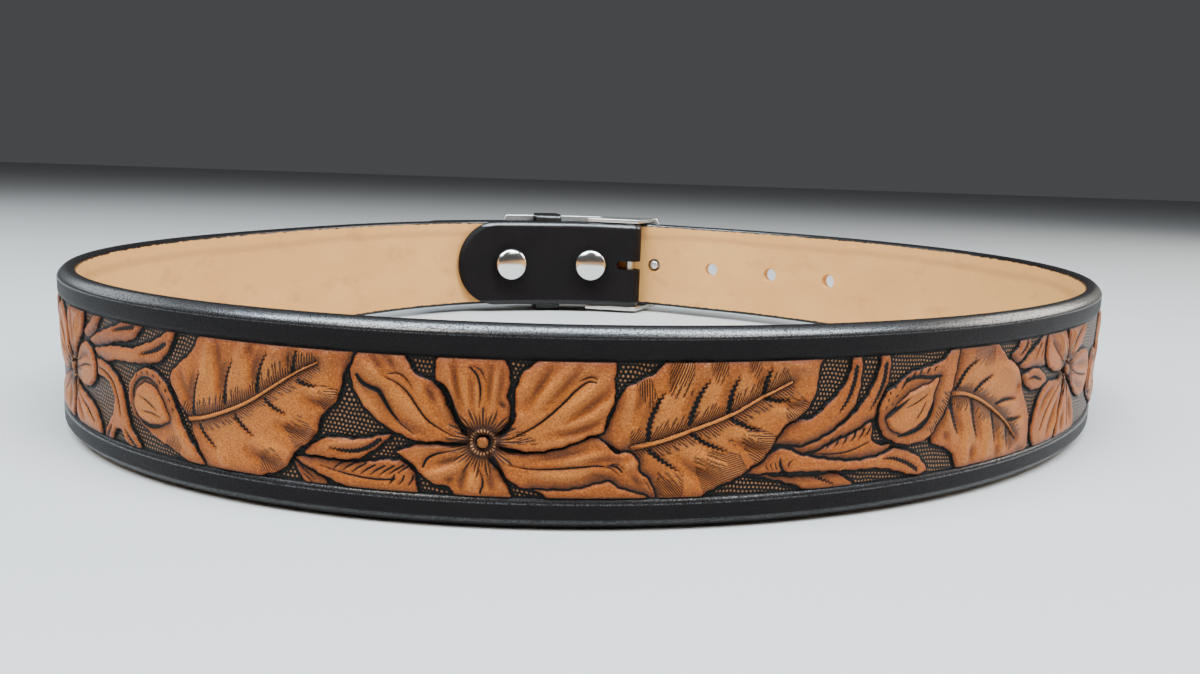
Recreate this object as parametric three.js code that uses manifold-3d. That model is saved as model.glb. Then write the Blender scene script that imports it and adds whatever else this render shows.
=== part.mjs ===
// Western tooled leather belt, fastened into a loop and standing on its edge.
// Millimetres, +Z up. The loop's front faces -Y, the buckle sits at the back, towards +Y.
// Places along the loop are arc lengths of the strap's centre line, counted from the buckle bar
// towards the fixed end of the strap. Lift is the distance outwards from that centre line.

import * as THREE from 'three';
import { mergeVertices } from 'three/addons/utils/BufferGeometryUtils.js';
import Module from 'manifold-3d';

const wasm = await Module();
wasm.setup();

// Loop: the mean radius of the centre line, and how far it departs from a circle
const LOOP_RADIUS = 143.6;
const BAR_ANGLE = 175.3;
const LOOP_WAVES = [
  { turns: 2, cosine: 0.0201, sine: -0.0391 },
  { turns: 3, cosine: -0.0273, sine: -0.0233 },
  { turns: 4, cosine: 0.0038, sine: 0.0109 },
];

// Strap leather
const STRAP_WIDTH = 38;
const STRAP_THICKNESS = 4.2;
const FLAP_THICKNESS = 3;
const SKIVE_LENGTH = 26;
const EDGE_ROUND = 1.6;
const BORDER_WIDTH = 5.8;
const BORDER_LIP = 0.5;
const TOOLING_DEPTH = 0.5;
const TOOLING_START = 76;
const TOOLING_STOP = 122;
const FLAP_LENGTH = 84.4;
const TIP_LENGTH = 110;
const TIP_STEP_START = 37;
const TIP_STEP_END = 3;
const LAYER_GAP = 0.4;
const SEAT_GAP = 0.3;

// Punched holes in the tip, and the slot punched across the fold
const HOLE_RADIUS = 2.85;
const HOLE_SPACING = 28.5;
const FIRST_HOLE = 10.9;
const HOLES_TOWARDS_TIP = 1;
const HOLES_ALONG_BODY = 3;
const SLOT_REACH = 5.8;
const SLOT_HEIGHT = 3.9;

// Keeper
const KEEPER_PLACE = 39.4;
const KEEPER_WIDTH = 11.3;
const KEEPER_LEATHER = 2.2;
const KEEPER_PLAY = 1.2;
const KEEPER_OUTER_CORNER = 1.8;
const KEEPER_INNER_CORNER = 0.6;

// Buckle
const BAR_RADIUS = 1.75;
const BAR_CLEARANCE = 0.3;
const PLATE_START = -10;
const PLATE_LENGTH = 66.3;
const PLATE_BULGE = 5;
const PLATE_THICKNESS = 2.6;
const PLATE_RIM = 3;
const PLATE_RIM_HEIGHT = 0.6;
const LOOP_CHEEK = 1.8;
const CHEEK_WIDTH = 23.6;
const CHEEK_SHIFT = 6.2;
const CHEEK_CLEARANCE = 0.4;
const PEG_RADIUS = 2;
const PEG_PROUD = 0.8;
const PEG_ROOT = 0.5;

// Snaps
const SNAP_NEAR = 18.9;
const SNAP_FAR = 59.4;
const CAP_RADIUS = 7;
const CAP_HEIGHT = 2.9;
const CAP_RIM = 0.7;
const BARREL_RADIUS = 3.2;
const POST_RADIUS = 1.9;
const POST_HEAD_RADIUS = 4.4;
const POST_HEAD_THICKNESS = 0.9;
const POST_HEAD_SUNK = 0.05;
const FACE_BOW = 0.15;

// Sizes that follow from those above
const HALF_STRAP = STRAP_THICKNESS / 2;
const HALF_FLAP = FLAP_THICKNESS / 2;
const MID_HEIGHT = STRAP_WIDTH / 2;
const FOLD_RADIUS = BAR_RADIUS + BAR_CLEARANCE + HALF_FLAP;
const TIP_LIFT = STRAP_THICKNESS + LAYER_GAP;
const FLAP_REST_LIFT = HALF_STRAP + LAYER_GAP + HALF_FLAP;
const FLAP_KEEPER_LIFT = HALF_STRAP + KEEPER_LEATHER + 2 * LAYER_GAP + HALF_FLAP;
const KEEPER_OUTER = TIP_LIFT + HALF_STRAP + LAYER_GAP + KEEPER_LEATHER;
const PLATE_LIFT = KEEPER_OUTER + LAYER_GAP;
const BUCKLE_HALF_HEIGHT = MID_HEIGHT + CHEEK_CLEARANCE + LOOP_CHEEK;

// Burnished edge, from the flesh face over the crown to the grain face. Face says which face a
// corner is set in from, inset and height are shares of the edge round.
const EDGE_TABLE = [
  { face: -1, inset: 0, height: 1 },
  { face: -1, inset: 0.3, height: 0.25 },
  { face: 0, inset: 0, height: 0 },
  { face: 1, inset: 0.45, height: 0.35 },
  { face: 1, inset: 0, height: 1.2 },
];

// How the flap stands off the body, from the fold to its round end
const FLAP_TABLE = [
  { along: 0, lift: 2 * FOLD_RADIUS },
  { along: 0.18, lift: FLAP_KEEPER_LIFT },
  { along: 0.55, lift: FLAP_KEEPER_LIFT },
  { along: 1, lift: FLAP_REST_LIFT },
];

// How finely the loop is measured
const SAMPLES = 2880;
const FULL_TURN = 2 * Math.PI;

// Plain shapes of three become solids that can be cut and joined, and come back
function toSolid(geometry) {
  const bare = geometry.clone();
  for (const name of Object.keys(bare.attributes)) {
    if (name !== 'position') bare.deleteAttribute(name);
  }
  const merged = mergeVertices(bare, 1e-4);
  const mesh = new wasm.Mesh({
    numProp: 3,
    vertProperties: new Float32Array(merged.attributes.position.array),
    triVerts: new Uint32Array(merged.index.array),
  });
  return new wasm.Manifold(mesh);
}

function toGeometry(solid) {
  const mesh = solid.getMesh();
  const geometry = new THREE.BufferGeometry();
  geometry.setAttribute('position', new THREE.BufferAttribute(new Float32Array(mesh.vertProperties), 3));
  geometry.setIndex(new THREE.BufferAttribute(new Uint32Array(mesh.triVerts), 1));
  geometry.computeVertexNormals();
  return geometry;
}

// The loop seen from above
function loopPoint(angle) {
  let share = 1;
  for (const wave of LOOP_WAVES) {
    share += wave.cosine * Math.cos(wave.turns * angle) + wave.sine * Math.sin(wave.turns * angle);
  }
  return new THREE.Vector2(Math.sin(angle), -Math.cos(angle)).multiplyScalar(LOOP_RADIUS * share);
}

function measureLoop() {
  const start = THREE.MathUtils.degToRad(BAR_ANGLE);
  const lengths = [0];
  let last = loopPoint(start);
  for (let i = 1; i <= SAMPLES; i += 1) {
    const next = loopPoint(start + (FULL_TURN * i) / SAMPLES);
    lengths.push(lengths[i - 1] + next.distanceTo(last));
    last = next;
  }
  return lengths;
}

const LOOP_LENGTHS = measureLoop();
const LOOP_LENGTH = LOOP_LENGTHS[SAMPLES];

function angleAt(arc) {
  const laps = Math.floor(arc / LOOP_LENGTH);
  const rest = arc - laps * LOOP_LENGTH;
  let low = 0;
  let high = SAMPLES;
  while (high - low > 1) {
    const middle = (low + high) >> 1;
    if (LOOP_LENGTHS[middle] > rest) high = middle;
    else low = middle;
  }
  const share = (rest - LOOP_LENGTHS[low]) / (LOOP_LENGTHS[high] - LOOP_LENGTHS[low]);
  return THREE.MathUtils.degToRad(BAR_ANGLE) + FULL_TURN * (laps + (low + share) / SAMPLES);
}

// A frame on the loop: x runs along the strap, y is up, z points outwards
function loopFrame(arc, lift) {
  const angle = angleAt(arc);
  const step = 1e-3;
  const along = loopPoint(angle + step).sub(loopPoint(angle - step)).normalize();
  const outwards = new THREE.Vector2(along.y, -along.x);
  const place = loopPoint(angle).addScaledVector(outwards, lift);
  return { place, along, outwards };
}

function frameMatrix(frame, height) {
  return new THREE.Matrix4()
    .makeBasis(
      new THREE.Vector3(frame.along.x, frame.along.y, 0),
      new THREE.Vector3(0, 0, 1),
      new THREE.Vector3(frame.outwards.x, frame.outwards.y, 0),
    )
    .setPosition(frame.place.x, frame.place.y, height);
}

// A closed bar of changing section along a row of stations in plan
function sweep(stations) {
  const positions = [];
  const indices = [];
  const sides = stations[0].section.length;
  for (const station of stations) {
    for (const corner of station.section) {
      positions.push(
        station.place.x + station.outwards.x * corner.lift,
        station.place.y + station.outwards.y * corner.lift,
        corner.height,
      );
    }
  }
  for (let i = 0; i + 1 < stations.length; i += 1) {
    for (let j = 0; j < sides; j += 1) {
      const a = i * sides + j;
      const b = i * sides + ((j + 1) % sides);
      indices.push(a, a + sides, b, b, a + sides, b + sides);
    }
  }
  const outline = stations[0].section.map((corner) => new THREE.Vector2(corner.lift, corner.height));
  const last = (stations.length - 1) * sides;
  for (const [a, b, c] of THREE.ShapeUtils.triangulateShape(outline, [])) {
    indices.push(a, b, c, last + a, last + c, last + b);
  }
  const geometry = new THREE.BufferGeometry();
  geometry.setAttribute('position', new THREE.Float32BufferAttribute(positions, 3));
  geometry.setIndex(indices);
  return geometry;
}

// Strap section: burnished round edges, raised borders and a sunk tooled panel on the grain side
function strapSection(thickness, sink) {
  const half = thickness / 2;
  const edge = EDGE_TABLE.map((row) => ({
    lift: row.face * (half - row.inset * EDGE_ROUND),
    height: row.height * EDGE_ROUND,
  }));
  const lower = [
    ...edge,
    { lift: half, height: BORDER_WIDTH },
    { lift: half - sink, height: BORDER_WIDTH + BORDER_LIP },
  ];
  const upper = lower.map((corner) => ({ lift: corner.lift, height: STRAP_WIDTH - corner.height }));
  return lower.concat(upper.reverse());
}

function smooth(share) {
  const held = Math.min(Math.max(share, 0), 1);
  return held * held * (3 - 2 * held);
}

function flapLift(arc) {
  const share = arc / FLAP_LENGTH;
  const next = FLAP_TABLE.findIndex((row) => row.along >= share && row.along > 0);
  const to = FLAP_TABLE[next];
  const from = FLAP_TABLE[next - 1];
  return from.lift + ((to.lift - from.lift) * (share - from.along)) / (to.along - from.along);
}

function bodyThickness(arc) {
  return FLAP_THICKNESS + (STRAP_THICKNESS - FLAP_THICKNESS) * smooth(arc / SKIVE_LENGTH);
}

function panelSink(arc) {
  const fadeIn = smooth((arc - TOOLING_START) / BORDER_LIP);
  const fadeOut = smooth((LOOP_LENGTH - TOOLING_STOP - arc) / BORDER_LIP);
  return TOOLING_DEPTH * fadeIn * fadeOut;
}

function bodyLift(arc) {
  const run = TIP_STEP_START - TIP_STEP_END;
  return TIP_LIFT * smooth((arc - (LOOP_LENGTH - TIP_STEP_START)) / run);
}

function evenSteps(from, to, longest) {
  const count = Math.ceil(Math.abs(to - from) / longest);
  return Array.from({ length: count + 1 }, (_, i) => from + ((to - from) * i) / count);
}

// Towards a round end the section closes in on the middle of the strap, as a half circle does
function rounded(section, toEnd) {
  const share = Math.min(toEnd / MID_HEIGHT, 1);
  const spread = Math.sqrt(1 - (1 - share) ** 2);
  return section.map((corner) => ({
    lift: corner.lift,
    height: MID_HEIGHT + (corner.height - MID_HEIGHT) * spread,
  }));
}

function roundEndSteps(end) {
  const first = Math.PI / 20;
  const turns = evenSteps(first, Math.PI / 2, Math.PI / 16);
  return turns.map((turn) => end - MID_HEIGHT * (1 - Math.cos(turn)));
}

function flapStation(arc) {
  const frame = loopFrame(arc, -flapLift(arc));
  return {
    place: frame.place,
    outwards: frame.outwards.clone().negate(),
    section: rounded(strapSection(FLAP_THICKNESS, 0), FLAP_LENGTH - arc),
  };
}

function foldStation(turn) {
  const bar = loopFrame(0, -FOLD_RADIUS);
  const outwards = bar.outwards.clone().multiplyScalar(-Math.cos(turn));
  outwards.addScaledVector(bar.along, -Math.sin(turn));
  return {
    place: bar.place.clone().addScaledVector(outwards, FOLD_RADIUS),
    outwards,
    section: strapSection(FLAP_THICKNESS, 0),
  };
}

function bodyStation(arc) {
  const frame = loopFrame(arc, bodyLift(arc));
  return {
    place: frame.place,
    outwards: frame.outwards,
    section: rounded(strapSection(bodyThickness(arc), panelSink(arc)), LOOP_LENGTH + TIP_LENGTH - arc),
  };
}

function strapStations() {
  const flapArcs = [...roundEndSteps(FLAP_LENGTH), ...evenSteps(FLAP_LENGTH - MID_HEIGHT, 0, 5).slice(1)];
  const flap = flapArcs.map(flapStation);
  const fold = evenSteps(0, Math.PI, Math.PI / 10).slice(1, -1).map(foldStation);
  const panelStart = TOOLING_START;
  const panelStop = LOOP_LENGTH - TOOLING_STOP;
  const bodyArcs = [
    ...evenSteps(0, panelStart, 6),
    ...evenSteps(panelStart + BORDER_LIP, panelStop - BORDER_LIP, 7),
    ...evenSteps(panelStop, LOOP_LENGTH - TIP_STEP_START, 8),
    ...evenSteps(LOOP_LENGTH - TIP_STEP_START, LOOP_LENGTH + TIP_LENGTH - MID_HEIGHT, 4).slice(1, -1),
    ...roundEndSteps(LOOP_LENGTH + TIP_LENGTH).reverse(),
  ];
  return [...flap, ...fold, ...bodyArcs.map(bodyStation)];
}

// A round bar along a frame's outward axis, from one lift to another
function outwardRod(frame, radius, from, to, sides) {
  const geometry = new THREE.CylinderGeometry(radius, radius, to - from, sides);
  geometry.rotateX(Math.PI / 2);
  geometry.translate(0, 0, (from + to) / 2);
  geometry.applyMatrix4(frameMatrix(frame, MID_HEIGHT));
  return toSolid(geometry);
}

function slotCutter() {
  const half = SLOT_HEIGHT / 2;
  const pastFold = -FOLD_RADIUS - FLAP_THICKNESS;
  const shape = new THREE.Shape();
  shape.moveTo(pastFold, -half);
  shape.lineTo(SLOT_REACH - half, -half);
  shape.absarc(SLOT_REACH - half, 0, half, -Math.PI / 2, Math.PI / 2, false);
  shape.lineTo(pastFold, half);
  const from = -2 * FOLD_RADIUS - FLAP_THICKNESS;
  const to = HALF_FLAP + LAYER_GAP;
  const geometry = new THREE.ExtrudeGeometry(shape, { depth: to - from, bevelEnabled: false, curveSegments: 8 });
  geometry.translate(0, 0, from);
  geometry.applyMatrix4(frameMatrix(loopFrame(0, 0), MID_HEIGHT));
  return toSolid(geometry);
}

function holeArcs() {
  const arcs = [];
  for (let i = -HOLES_TOWARDS_TIP; i <= HOLES_ALONG_BODY; i += 1) {
    arcs.push(LOOP_LENGTH - FIRST_HOLE - i * HOLE_SPACING);
  }
  return arcs;
}

function punchCutter(arc) {
  const overBody = arc > LOOP_LENGTH;
  const inwards = overBody ? HALF_STRAP + LAYER_GAP / 2 : STRAP_THICKNESS;
  return outwardRod(loopFrame(arc, bodyLift(arc)), HOLE_RADIUS, -inwards, STRAP_THICKNESS, 20);
}

// A snap's axis stands square on the flap and is shared by its cap, its post and their holes
function snapFrame(arc) {
  const reach = CAP_RADIUS / 2;
  const before = loopFrame(arc - reach, -flapLift(arc - reach)).place;
  const after = loopFrame(arc + reach, -flapLift(arc + reach)).place;
  const along = after.clone().sub(before).normalize();
  const place = before.add(after).multiplyScalar(0.5);
  return { place, along, outwards: new THREE.Vector2(along.y, -along.x) };
}

function bodyFaceDepth(arc) {
  return flapLift(arc) - bodyThickness(arc) / 2;
}

function snapHoleCutters(arc) {
  const frame = snapFrame(arc);
  const bodyInner = bodyFaceDepth(arc);
  const bodyOuter = bodyInner + bodyThickness(arc);
  const headSeat = bodyOuter - POST_HEAD_THICKNESS - SEAT_GAP;
  const past = LAYER_GAP / 2;
  return [
    outwardRod(frame, BARREL_RADIUS + SEAT_GAP, -FLAP_THICKNESS, HALF_FLAP + past, 20),
    outwardRod(frame, POST_RADIUS + SEAT_GAP, bodyInner - past, bodyOuter + past, 16),
    outwardRod(frame, POST_HEAD_RADIUS + SEAT_GAP, headSeat, bodyOuter + past, 24),
  ];
}

function makeStrap() {
  let strap = toSolid(sweep(strapStations()));
  const cutters = [
    slotCutter(),
    ...holeArcs().map(punchCutter),
    ...snapHoleCutters(SNAP_NEAR),
    ...snapHoleCutters(SNAP_FAR),
  ];
  for (const cutter of cutters) strap = strap.subtract(cutter);
  return toGeometry(strap);
}

// Keeper: a leather ring round the body and the tip, under the flap
function chamferedBox(left, right, bottom, top, corner) {
  return [
    new THREE.Vector2(left + corner, bottom),
    new THREE.Vector2(right - corner, bottom),
    new THREE.Vector2(right, bottom + corner),
    new THREE.Vector2(right, top - corner),
    new THREE.Vector2(right - corner, top),
    new THREE.Vector2(left + corner, top),
    new THREE.Vector2(left, top - corner),
    new THREE.Vector2(left, bottom + corner),
  ];
}

function makeKeeper() {
  const inner = -HALF_STRAP - LAYER_GAP;
  const outer = KEEPER_OUTER - KEEPER_LEATHER;
  const reach = MID_HEIGHT + KEEPER_PLAY;
  const wall = KEEPER_LEATHER;
  const ring = new THREE.Shape(
    chamferedBox(inner - wall, outer + wall, -reach - wall, reach + wall, KEEPER_OUTER_CORNER),
  );
  ring.holes.push(new THREE.Path(chamferedBox(inner, outer, -reach, reach, KEEPER_INNER_CORNER)));
  const geometry = new THREE.ExtrudeGeometry(ring, { depth: KEEPER_WIDTH, bevelEnabled: false });
  geometry.translate(0, 0, -KEEPER_WIDTH / 2);
  const frame = loopFrame(KEEPER_PLACE, 0);
  const matrix = new THREE.Matrix4()
    .makeBasis(
      new THREE.Vector3(frame.outwards.x, frame.outwards.y, 0),
      new THREE.Vector3(0, 0, 1),
      new THREE.Vector3(-frame.along.x, -frame.along.y, 0),
    )
    .setPosition(frame.place.x, frame.place.y, MID_HEIGHT);
  geometry.applyMatrix4(matrix);
  return toGeometry(toSolid(geometry));
}

// Buckle: a bent plate with bowed ends, the loop that carries the bar, and the peg
function plateOutline(inset) {
  const half = (PLATE_LENGTH * (1 + PLATE_LIFT / LOOP_RADIUS)) / 2 - inset;
  const height = BUCKLE_HALF_HEIGHT - inset;
  const bow = new THREE.Vector2(height, PLATE_BULGE);
  const radius = bow.lengthSq() / (2 * PLATE_BULGE);
  const swing = Math.asin(height / radius);
  const centre = half + PLATE_BULGE - radius;
  const shape = new THREE.Shape();
  shape.absarc(centre, 0, radius, -swing, swing, false);
  shape.absarc(-centre, 0, radius, Math.PI - swing, Math.PI + swing, false);
  return shape;
}

function platePrism(inset) {
  const depth = 4 * PLATE_LIFT;
  const outline = plateOutline(inset);
  const geometry = new THREE.ExtrudeGeometry(outline, { depth, bevelEnabled: false, curveSegments: 10 });
  geometry.translate(0, 0, -depth / 2);
  geometry.applyMatrix4(frameMatrix(loopFrame(PLATE_START + PLATE_LENGTH / 2, PLATE_LIFT), MID_HEIGHT));
  return toSolid(geometry);
}

function plateSlab(from, to) {
  const spare = 2 * PLATE_BULGE;
  const section = [
    { lift: from, height: MID_HEIGHT - BUCKLE_HALF_HEIGHT - spare },
    { lift: to, height: MID_HEIGHT - BUCKLE_HALF_HEIGHT - spare },
    { lift: to, height: MID_HEIGHT + BUCKLE_HALF_HEIGHT + spare },
    { lift: from, height: MID_HEIGHT + BUCKLE_HALF_HEIGHT + spare },
  ];
  const arcs = evenSteps(PLATE_START - spare, PLATE_START + PLATE_LENGTH + spare, 6);
  return toSolid(sweep(arcs.map((arc) => ({ ...loopFrame(arc, 0), section }))));
}

function cheek(height) {
  const outerEnd = PLATE_LIFT + PLATE_THICKNESS / 2;
  const innerEnd = -2 * FOLD_RADIUS;
  const shape = new THREE.Shape([
    new THREE.Vector2(PLATE_START, outerEnd),
    new THREE.Vector2(PLATE_START + CHEEK_SHIFT, innerEnd),
    new THREE.Vector2(PLATE_START + CHEEK_SHIFT + CHEEK_WIDTH, innerEnd),
    new THREE.Vector2(PLATE_START + CHEEK_WIDTH, outerEnd),
  ]);
  const geometry = new THREE.ExtrudeGeometry(shape, { depth: LOOP_CHEEK, bevelEnabled: false });
  const frame = loopFrame(0, 0);
  const matrix = new THREE.Matrix4()
    .makeBasis(
      new THREE.Vector3(frame.along.x, frame.along.y, 0),
      new THREE.Vector3(frame.outwards.x, frame.outwards.y, 0),
      new THREE.Vector3(0, 0, -1),
    )
    .setPosition(frame.place.x, frame.place.y, height);
  geometry.applyMatrix4(matrix);
  return toSolid(geometry);
}

function makeBuckle() {
  const outer = PLATE_LIFT + PLATE_THICKNESS;
  let buckle = plateSlab(PLATE_LIFT, outer).intersect(platePrism(0));
  const pocket = plateSlab(outer - PLATE_RIM_HEIGHT, outer + PLATE_THICKNESS).intersect(platePrism(PLATE_RIM));
  buckle = buckle.subtract(pocket);
  const top = MID_HEIGHT + BUCKLE_HALF_HEIGHT;
  const bottom = MID_HEIGHT - BUCKLE_HALF_HEIGHT;
  const bar = new THREE.CylinderGeometry(BAR_RADIUS, BAR_RADIUS, top - bottom - LOOP_CHEEK, 16);
  bar.rotateX(Math.PI / 2);
  const barPlace = loopFrame(0, -FOLD_RADIUS).place;
  bar.translate(barPlace.x, barPlace.y, MID_HEIGHT);
  const pegArc = LOOP_LENGTH - FIRST_HOLE;
  const pegEnd = bodyLift(pegArc) - HALF_STRAP - PEG_PROUD;
  const peg = outwardRod(loopFrame(pegArc, 0), PEG_RADIUS, pegEnd, outer - PLATE_RIM_HEIGHT - PEG_ROOT, 16);
  for (const piece of [cheek(top), cheek(bottom + LOOP_CHEEK), toSolid(bar), peg]) {
    buckle = buckle.add(piece);
  }
  return toGeometry(buckle);
}

// Snaps: a domed cap with a barrel through the flap, and a post from the body's outer face
function turned(profile, sides, frame) {
  const geometry = new THREE.LatheGeometry(profile, sides);
  geometry.rotateX(Math.PI / 2);
  geometry.applyMatrix4(frameMatrix(frame, MID_HEIGHT));
  const solid = toSolid(geometry);
  return toGeometry(solid);
}

function domeProfile(base) {
  const points = [];
  const rise = CAP_HEIGHT - CAP_RIM;
  for (let i = 0; i <= 6; i += 1) {
    const turn = (Math.PI / 2) * (i / 6);
    points.push(new THREE.Vector2(CAP_RADIUS * Math.sin(turn), base - CAP_RIM - rise * Math.cos(turn)));
  }
  points[0].x = 0;
  points.push(new THREE.Vector2(CAP_RADIUS, base));
  return points;
}

function makeSnapCap(arc) {
  const base = -HALF_FLAP - SEAT_GAP - FACE_BOW;
  const barrelEnd = bodyFaceDepth(arc) - SEAT_GAP;
  const recess = POST_RADIUS + SEAT_GAP;
  const floor = base + SEAT_GAP;
  const profile = [
    ...domeProfile(base),
    new THREE.Vector2(BARREL_RADIUS, base),
    new THREE.Vector2(BARREL_RADIUS, barrelEnd),
    new THREE.Vector2(recess, barrelEnd),
    new THREE.Vector2(recess, floor),
    new THREE.Vector2(0, floor),
  ];
  return turned(profile, 24, snapFrame(arc));
}

function makeSnapPost(arc) {
  const headOuter = bodyFaceDepth(arc) + bodyThickness(arc) - POST_HEAD_SUNK;
  const headInner = headOuter - POST_HEAD_THICKNESS;
  const tip = -HALF_FLAP + SEAT_GAP;
  const profile = [
    new THREE.Vector2(0, tip),
    new THREE.Vector2(POST_RADIUS, tip),
    new THREE.Vector2(POST_RADIUS, headInner),
    new THREE.Vector2(POST_HEAD_RADIUS, headInner),
    new THREE.Vector2(POST_HEAD_RADIUS, headOuter),
    new THREE.Vector2(0, headOuter),
  ];
  return turned(profile, 20, snapFrame(arc));
}

// Finishes
const dyedLeather = new THREE.MeshStandardMaterial({ color: 0x2a2628, roughness: 0.5, metalness: 0 });
const carvedLeather = new THREE.MeshStandardMaterial({ color: 0xa8642f, roughness: 0.55, metalness: 0 });
const nickel = new THREE.MeshStandardMaterial({ color: 0xd9d8d2, roughness: 0.2, metalness: 1 });

const pieces = [
  { name: 'strap', geometry: makeStrap(), material: carvedLeather },
  { name: 'keeper', geometry: makeKeeper(), material: dyedLeather },
  { name: 'buckle', geometry: makeBuckle(), material: nickel },
  { name: 'snap_cap_right', geometry: makeSnapCap(SNAP_NEAR), material: nickel },
  { name: 'snap_cap_left', geometry: makeSnapCap(SNAP_FAR), material: nickel },
  { name: 'snap_post_right', geometry: makeSnapPost(SNAP_NEAR), material: nickel },
  { name: 'snap_post_left', geometry: makeSnapPost(SNAP_FAR), material: nickel },
];

const belt = new THREE.Group();
for (const piece of pieces) {
  const mesh = new THREE.Mesh(piece.geometry, piece.material);
  mesh.name = piece.name;
  belt.add(mesh);
}

// The belt rests on the front of its lower edge and on the keeper, so it leans a little forwards
const keeperDrop = KEEPER_PLAY + KEEPER_LEATHER;
const frontRest = Math.abs(loopPoint(0).y);
const keeperRest = loopFrame(KEEPER_PLACE, 0).place.y;
belt.rotation.x = Math.atan(keeperDrop / (frontRest + keeperRest));

const group = new THREE.Group();
group.add(belt);
group.updateMatrixWorld(true);
const box = new THREE.Box3().setFromObject(group, true);
const middle = box.getCenter(new THREE.Vector3());
belt.position.set(-middle.x, -middle.y, -box.min.z);

export default group;
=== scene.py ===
import math

import bmesh
import bpy
import numpy as np
from mathutils import Matrix, Vector


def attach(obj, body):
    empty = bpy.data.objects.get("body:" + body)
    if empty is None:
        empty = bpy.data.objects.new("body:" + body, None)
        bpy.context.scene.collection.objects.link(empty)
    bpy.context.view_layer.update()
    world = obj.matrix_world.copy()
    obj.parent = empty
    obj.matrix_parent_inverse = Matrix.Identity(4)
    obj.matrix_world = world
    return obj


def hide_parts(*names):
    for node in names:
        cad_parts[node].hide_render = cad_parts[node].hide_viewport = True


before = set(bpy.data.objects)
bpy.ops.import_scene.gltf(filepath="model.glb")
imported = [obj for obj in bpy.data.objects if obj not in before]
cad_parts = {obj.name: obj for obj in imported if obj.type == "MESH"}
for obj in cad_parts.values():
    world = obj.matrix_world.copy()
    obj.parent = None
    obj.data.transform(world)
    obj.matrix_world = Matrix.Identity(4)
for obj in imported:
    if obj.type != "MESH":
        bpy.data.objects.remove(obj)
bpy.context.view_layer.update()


# Strap: one strip of vegetable-tanned cowhide with burnished, black-dyed edges, natural inside. It
# is cut and punched flat and sunk where the tooling goes. One end is folded round the buckle's bar
# and closed with two snaps, and the rest is bent to the waist and ends in a round tip.
MM = 0.001
STRAP_WIDTH = 38.0
STRAP_THICKNESS = 4.2
FLAP_THICKNESS = 3.0
SKIVE_LENGTH = 26.0
FLAP_LENGTH = 84.4
TIP_LENGTH = 110.0
TIP_LIFT = 4.6
TIP_STEP = (37.0, 3.0)
TOOLING_START, TOOLING_STOP = 76.0, 122.0
PANEL_EDGE = 5.1
FIRST_HOLE, HOLE_SPACING, HOLE_RADIUS = 10.9, 28.5, 2.85
SLOT_REACH, SLOT_HEIGHT = 5.8, 3.9
SNAP_ARCS = (18.9, 59.4)
FOLD_RADIUS = 3.55
FOLD_LENGTH = math.pi * FOLD_RADIUS
FLAP_STAND = ((0.0, 7.1), (0.18, 6.6), (0.55, 6.6), (1.0, 4.0))
LOOP_RADIUS = 143.6
BAR_ANGLE = math.radians(175.3)
LOOP_WAVES = ((2, 0.0201, -0.0391), (3, -0.0273, -0.0233), (4, 0.0038, 0.0109))
MID = STRAP_WIDTH / 2

# The belt stands on its front and on the keeper, so it leans forwards by less than a degree
STAND_PLACE, STAND_LEAN = (-0.00174030, -0.00842538, 0.00171629), 0.0116608
STAND = Matrix.Translation(STAND_PLACE) @ Matrix.Rotation(STAND_LEAN, 4, "X")


def loop_point(angle):
    share = 1 + sum(c * np.cos(n * angle) + s * np.sin(n * angle) for n, c, s in LOOP_WAVES)
    return np.stack([np.sin(angle), -np.cos(angle)], -1) * (LOOP_RADIUS * share)[..., None]


# Arc lengths in mm from the bar, on a little more than one turn of the loop
ANGLES = BAR_ANGLE + np.linspace(-0.5, 2 * math.pi + 1.2, 6001)
ARCS = np.concatenate([[0], np.cumsum(np.hypot(*np.diff(loop_point(ANGLES), axis=0).T))])
ARCS -= np.interp(BAR_ANGLE, ANGLES, ARCS)
LOOP_LENGTH = float(np.interp(BAR_ANGLE + 2 * math.pi, ANGLES, ARCS))
FRONT = float(np.interp(2 * math.pi, ANGLES, ARCS))


def loop_frame(arc):
    """Places on the loop, and the ways along it and outwards, for an array of arc lengths."""
    angle = np.interp(arc, ARCS, ANGLES)
    step = 1e-3
    along = loop_point(angle + step) - loop_point(angle - step)
    along /= np.linalg.norm(along, axis=-1, keepdims=True)
    return loop_point(angle), along, np.stack([along[..., 1], -along[..., 0]], -1)


def smooth(share):
    share = np.clip(share, 0, 1)
    return share * share * (3 - 2 * share)


def thickness_at(along):
    return FLAP_THICKNESS + (STRAP_THICKNESS - FLAP_THICKNESS) * smooth(along / SKIVE_LENGTH)


def body_lift(arc):
    return TIP_LIFT * smooth((arc - (LOOP_LENGTH - TIP_STEP[0])) / (TIP_STEP[0] - TIP_STEP[1]))


def flap_lift(arc):
    return np.interp(arc / FLAP_LENGTH, *zip(*FLAP_STAND))


def stand_up(points):
    """Points of the belt in mm, as the loop is drawn, to their places in the frame in metres."""
    turn = np.array(STAND.to_3x3())
    return (points * MM) @ turn.T + np.array(STAND.translation)


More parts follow.
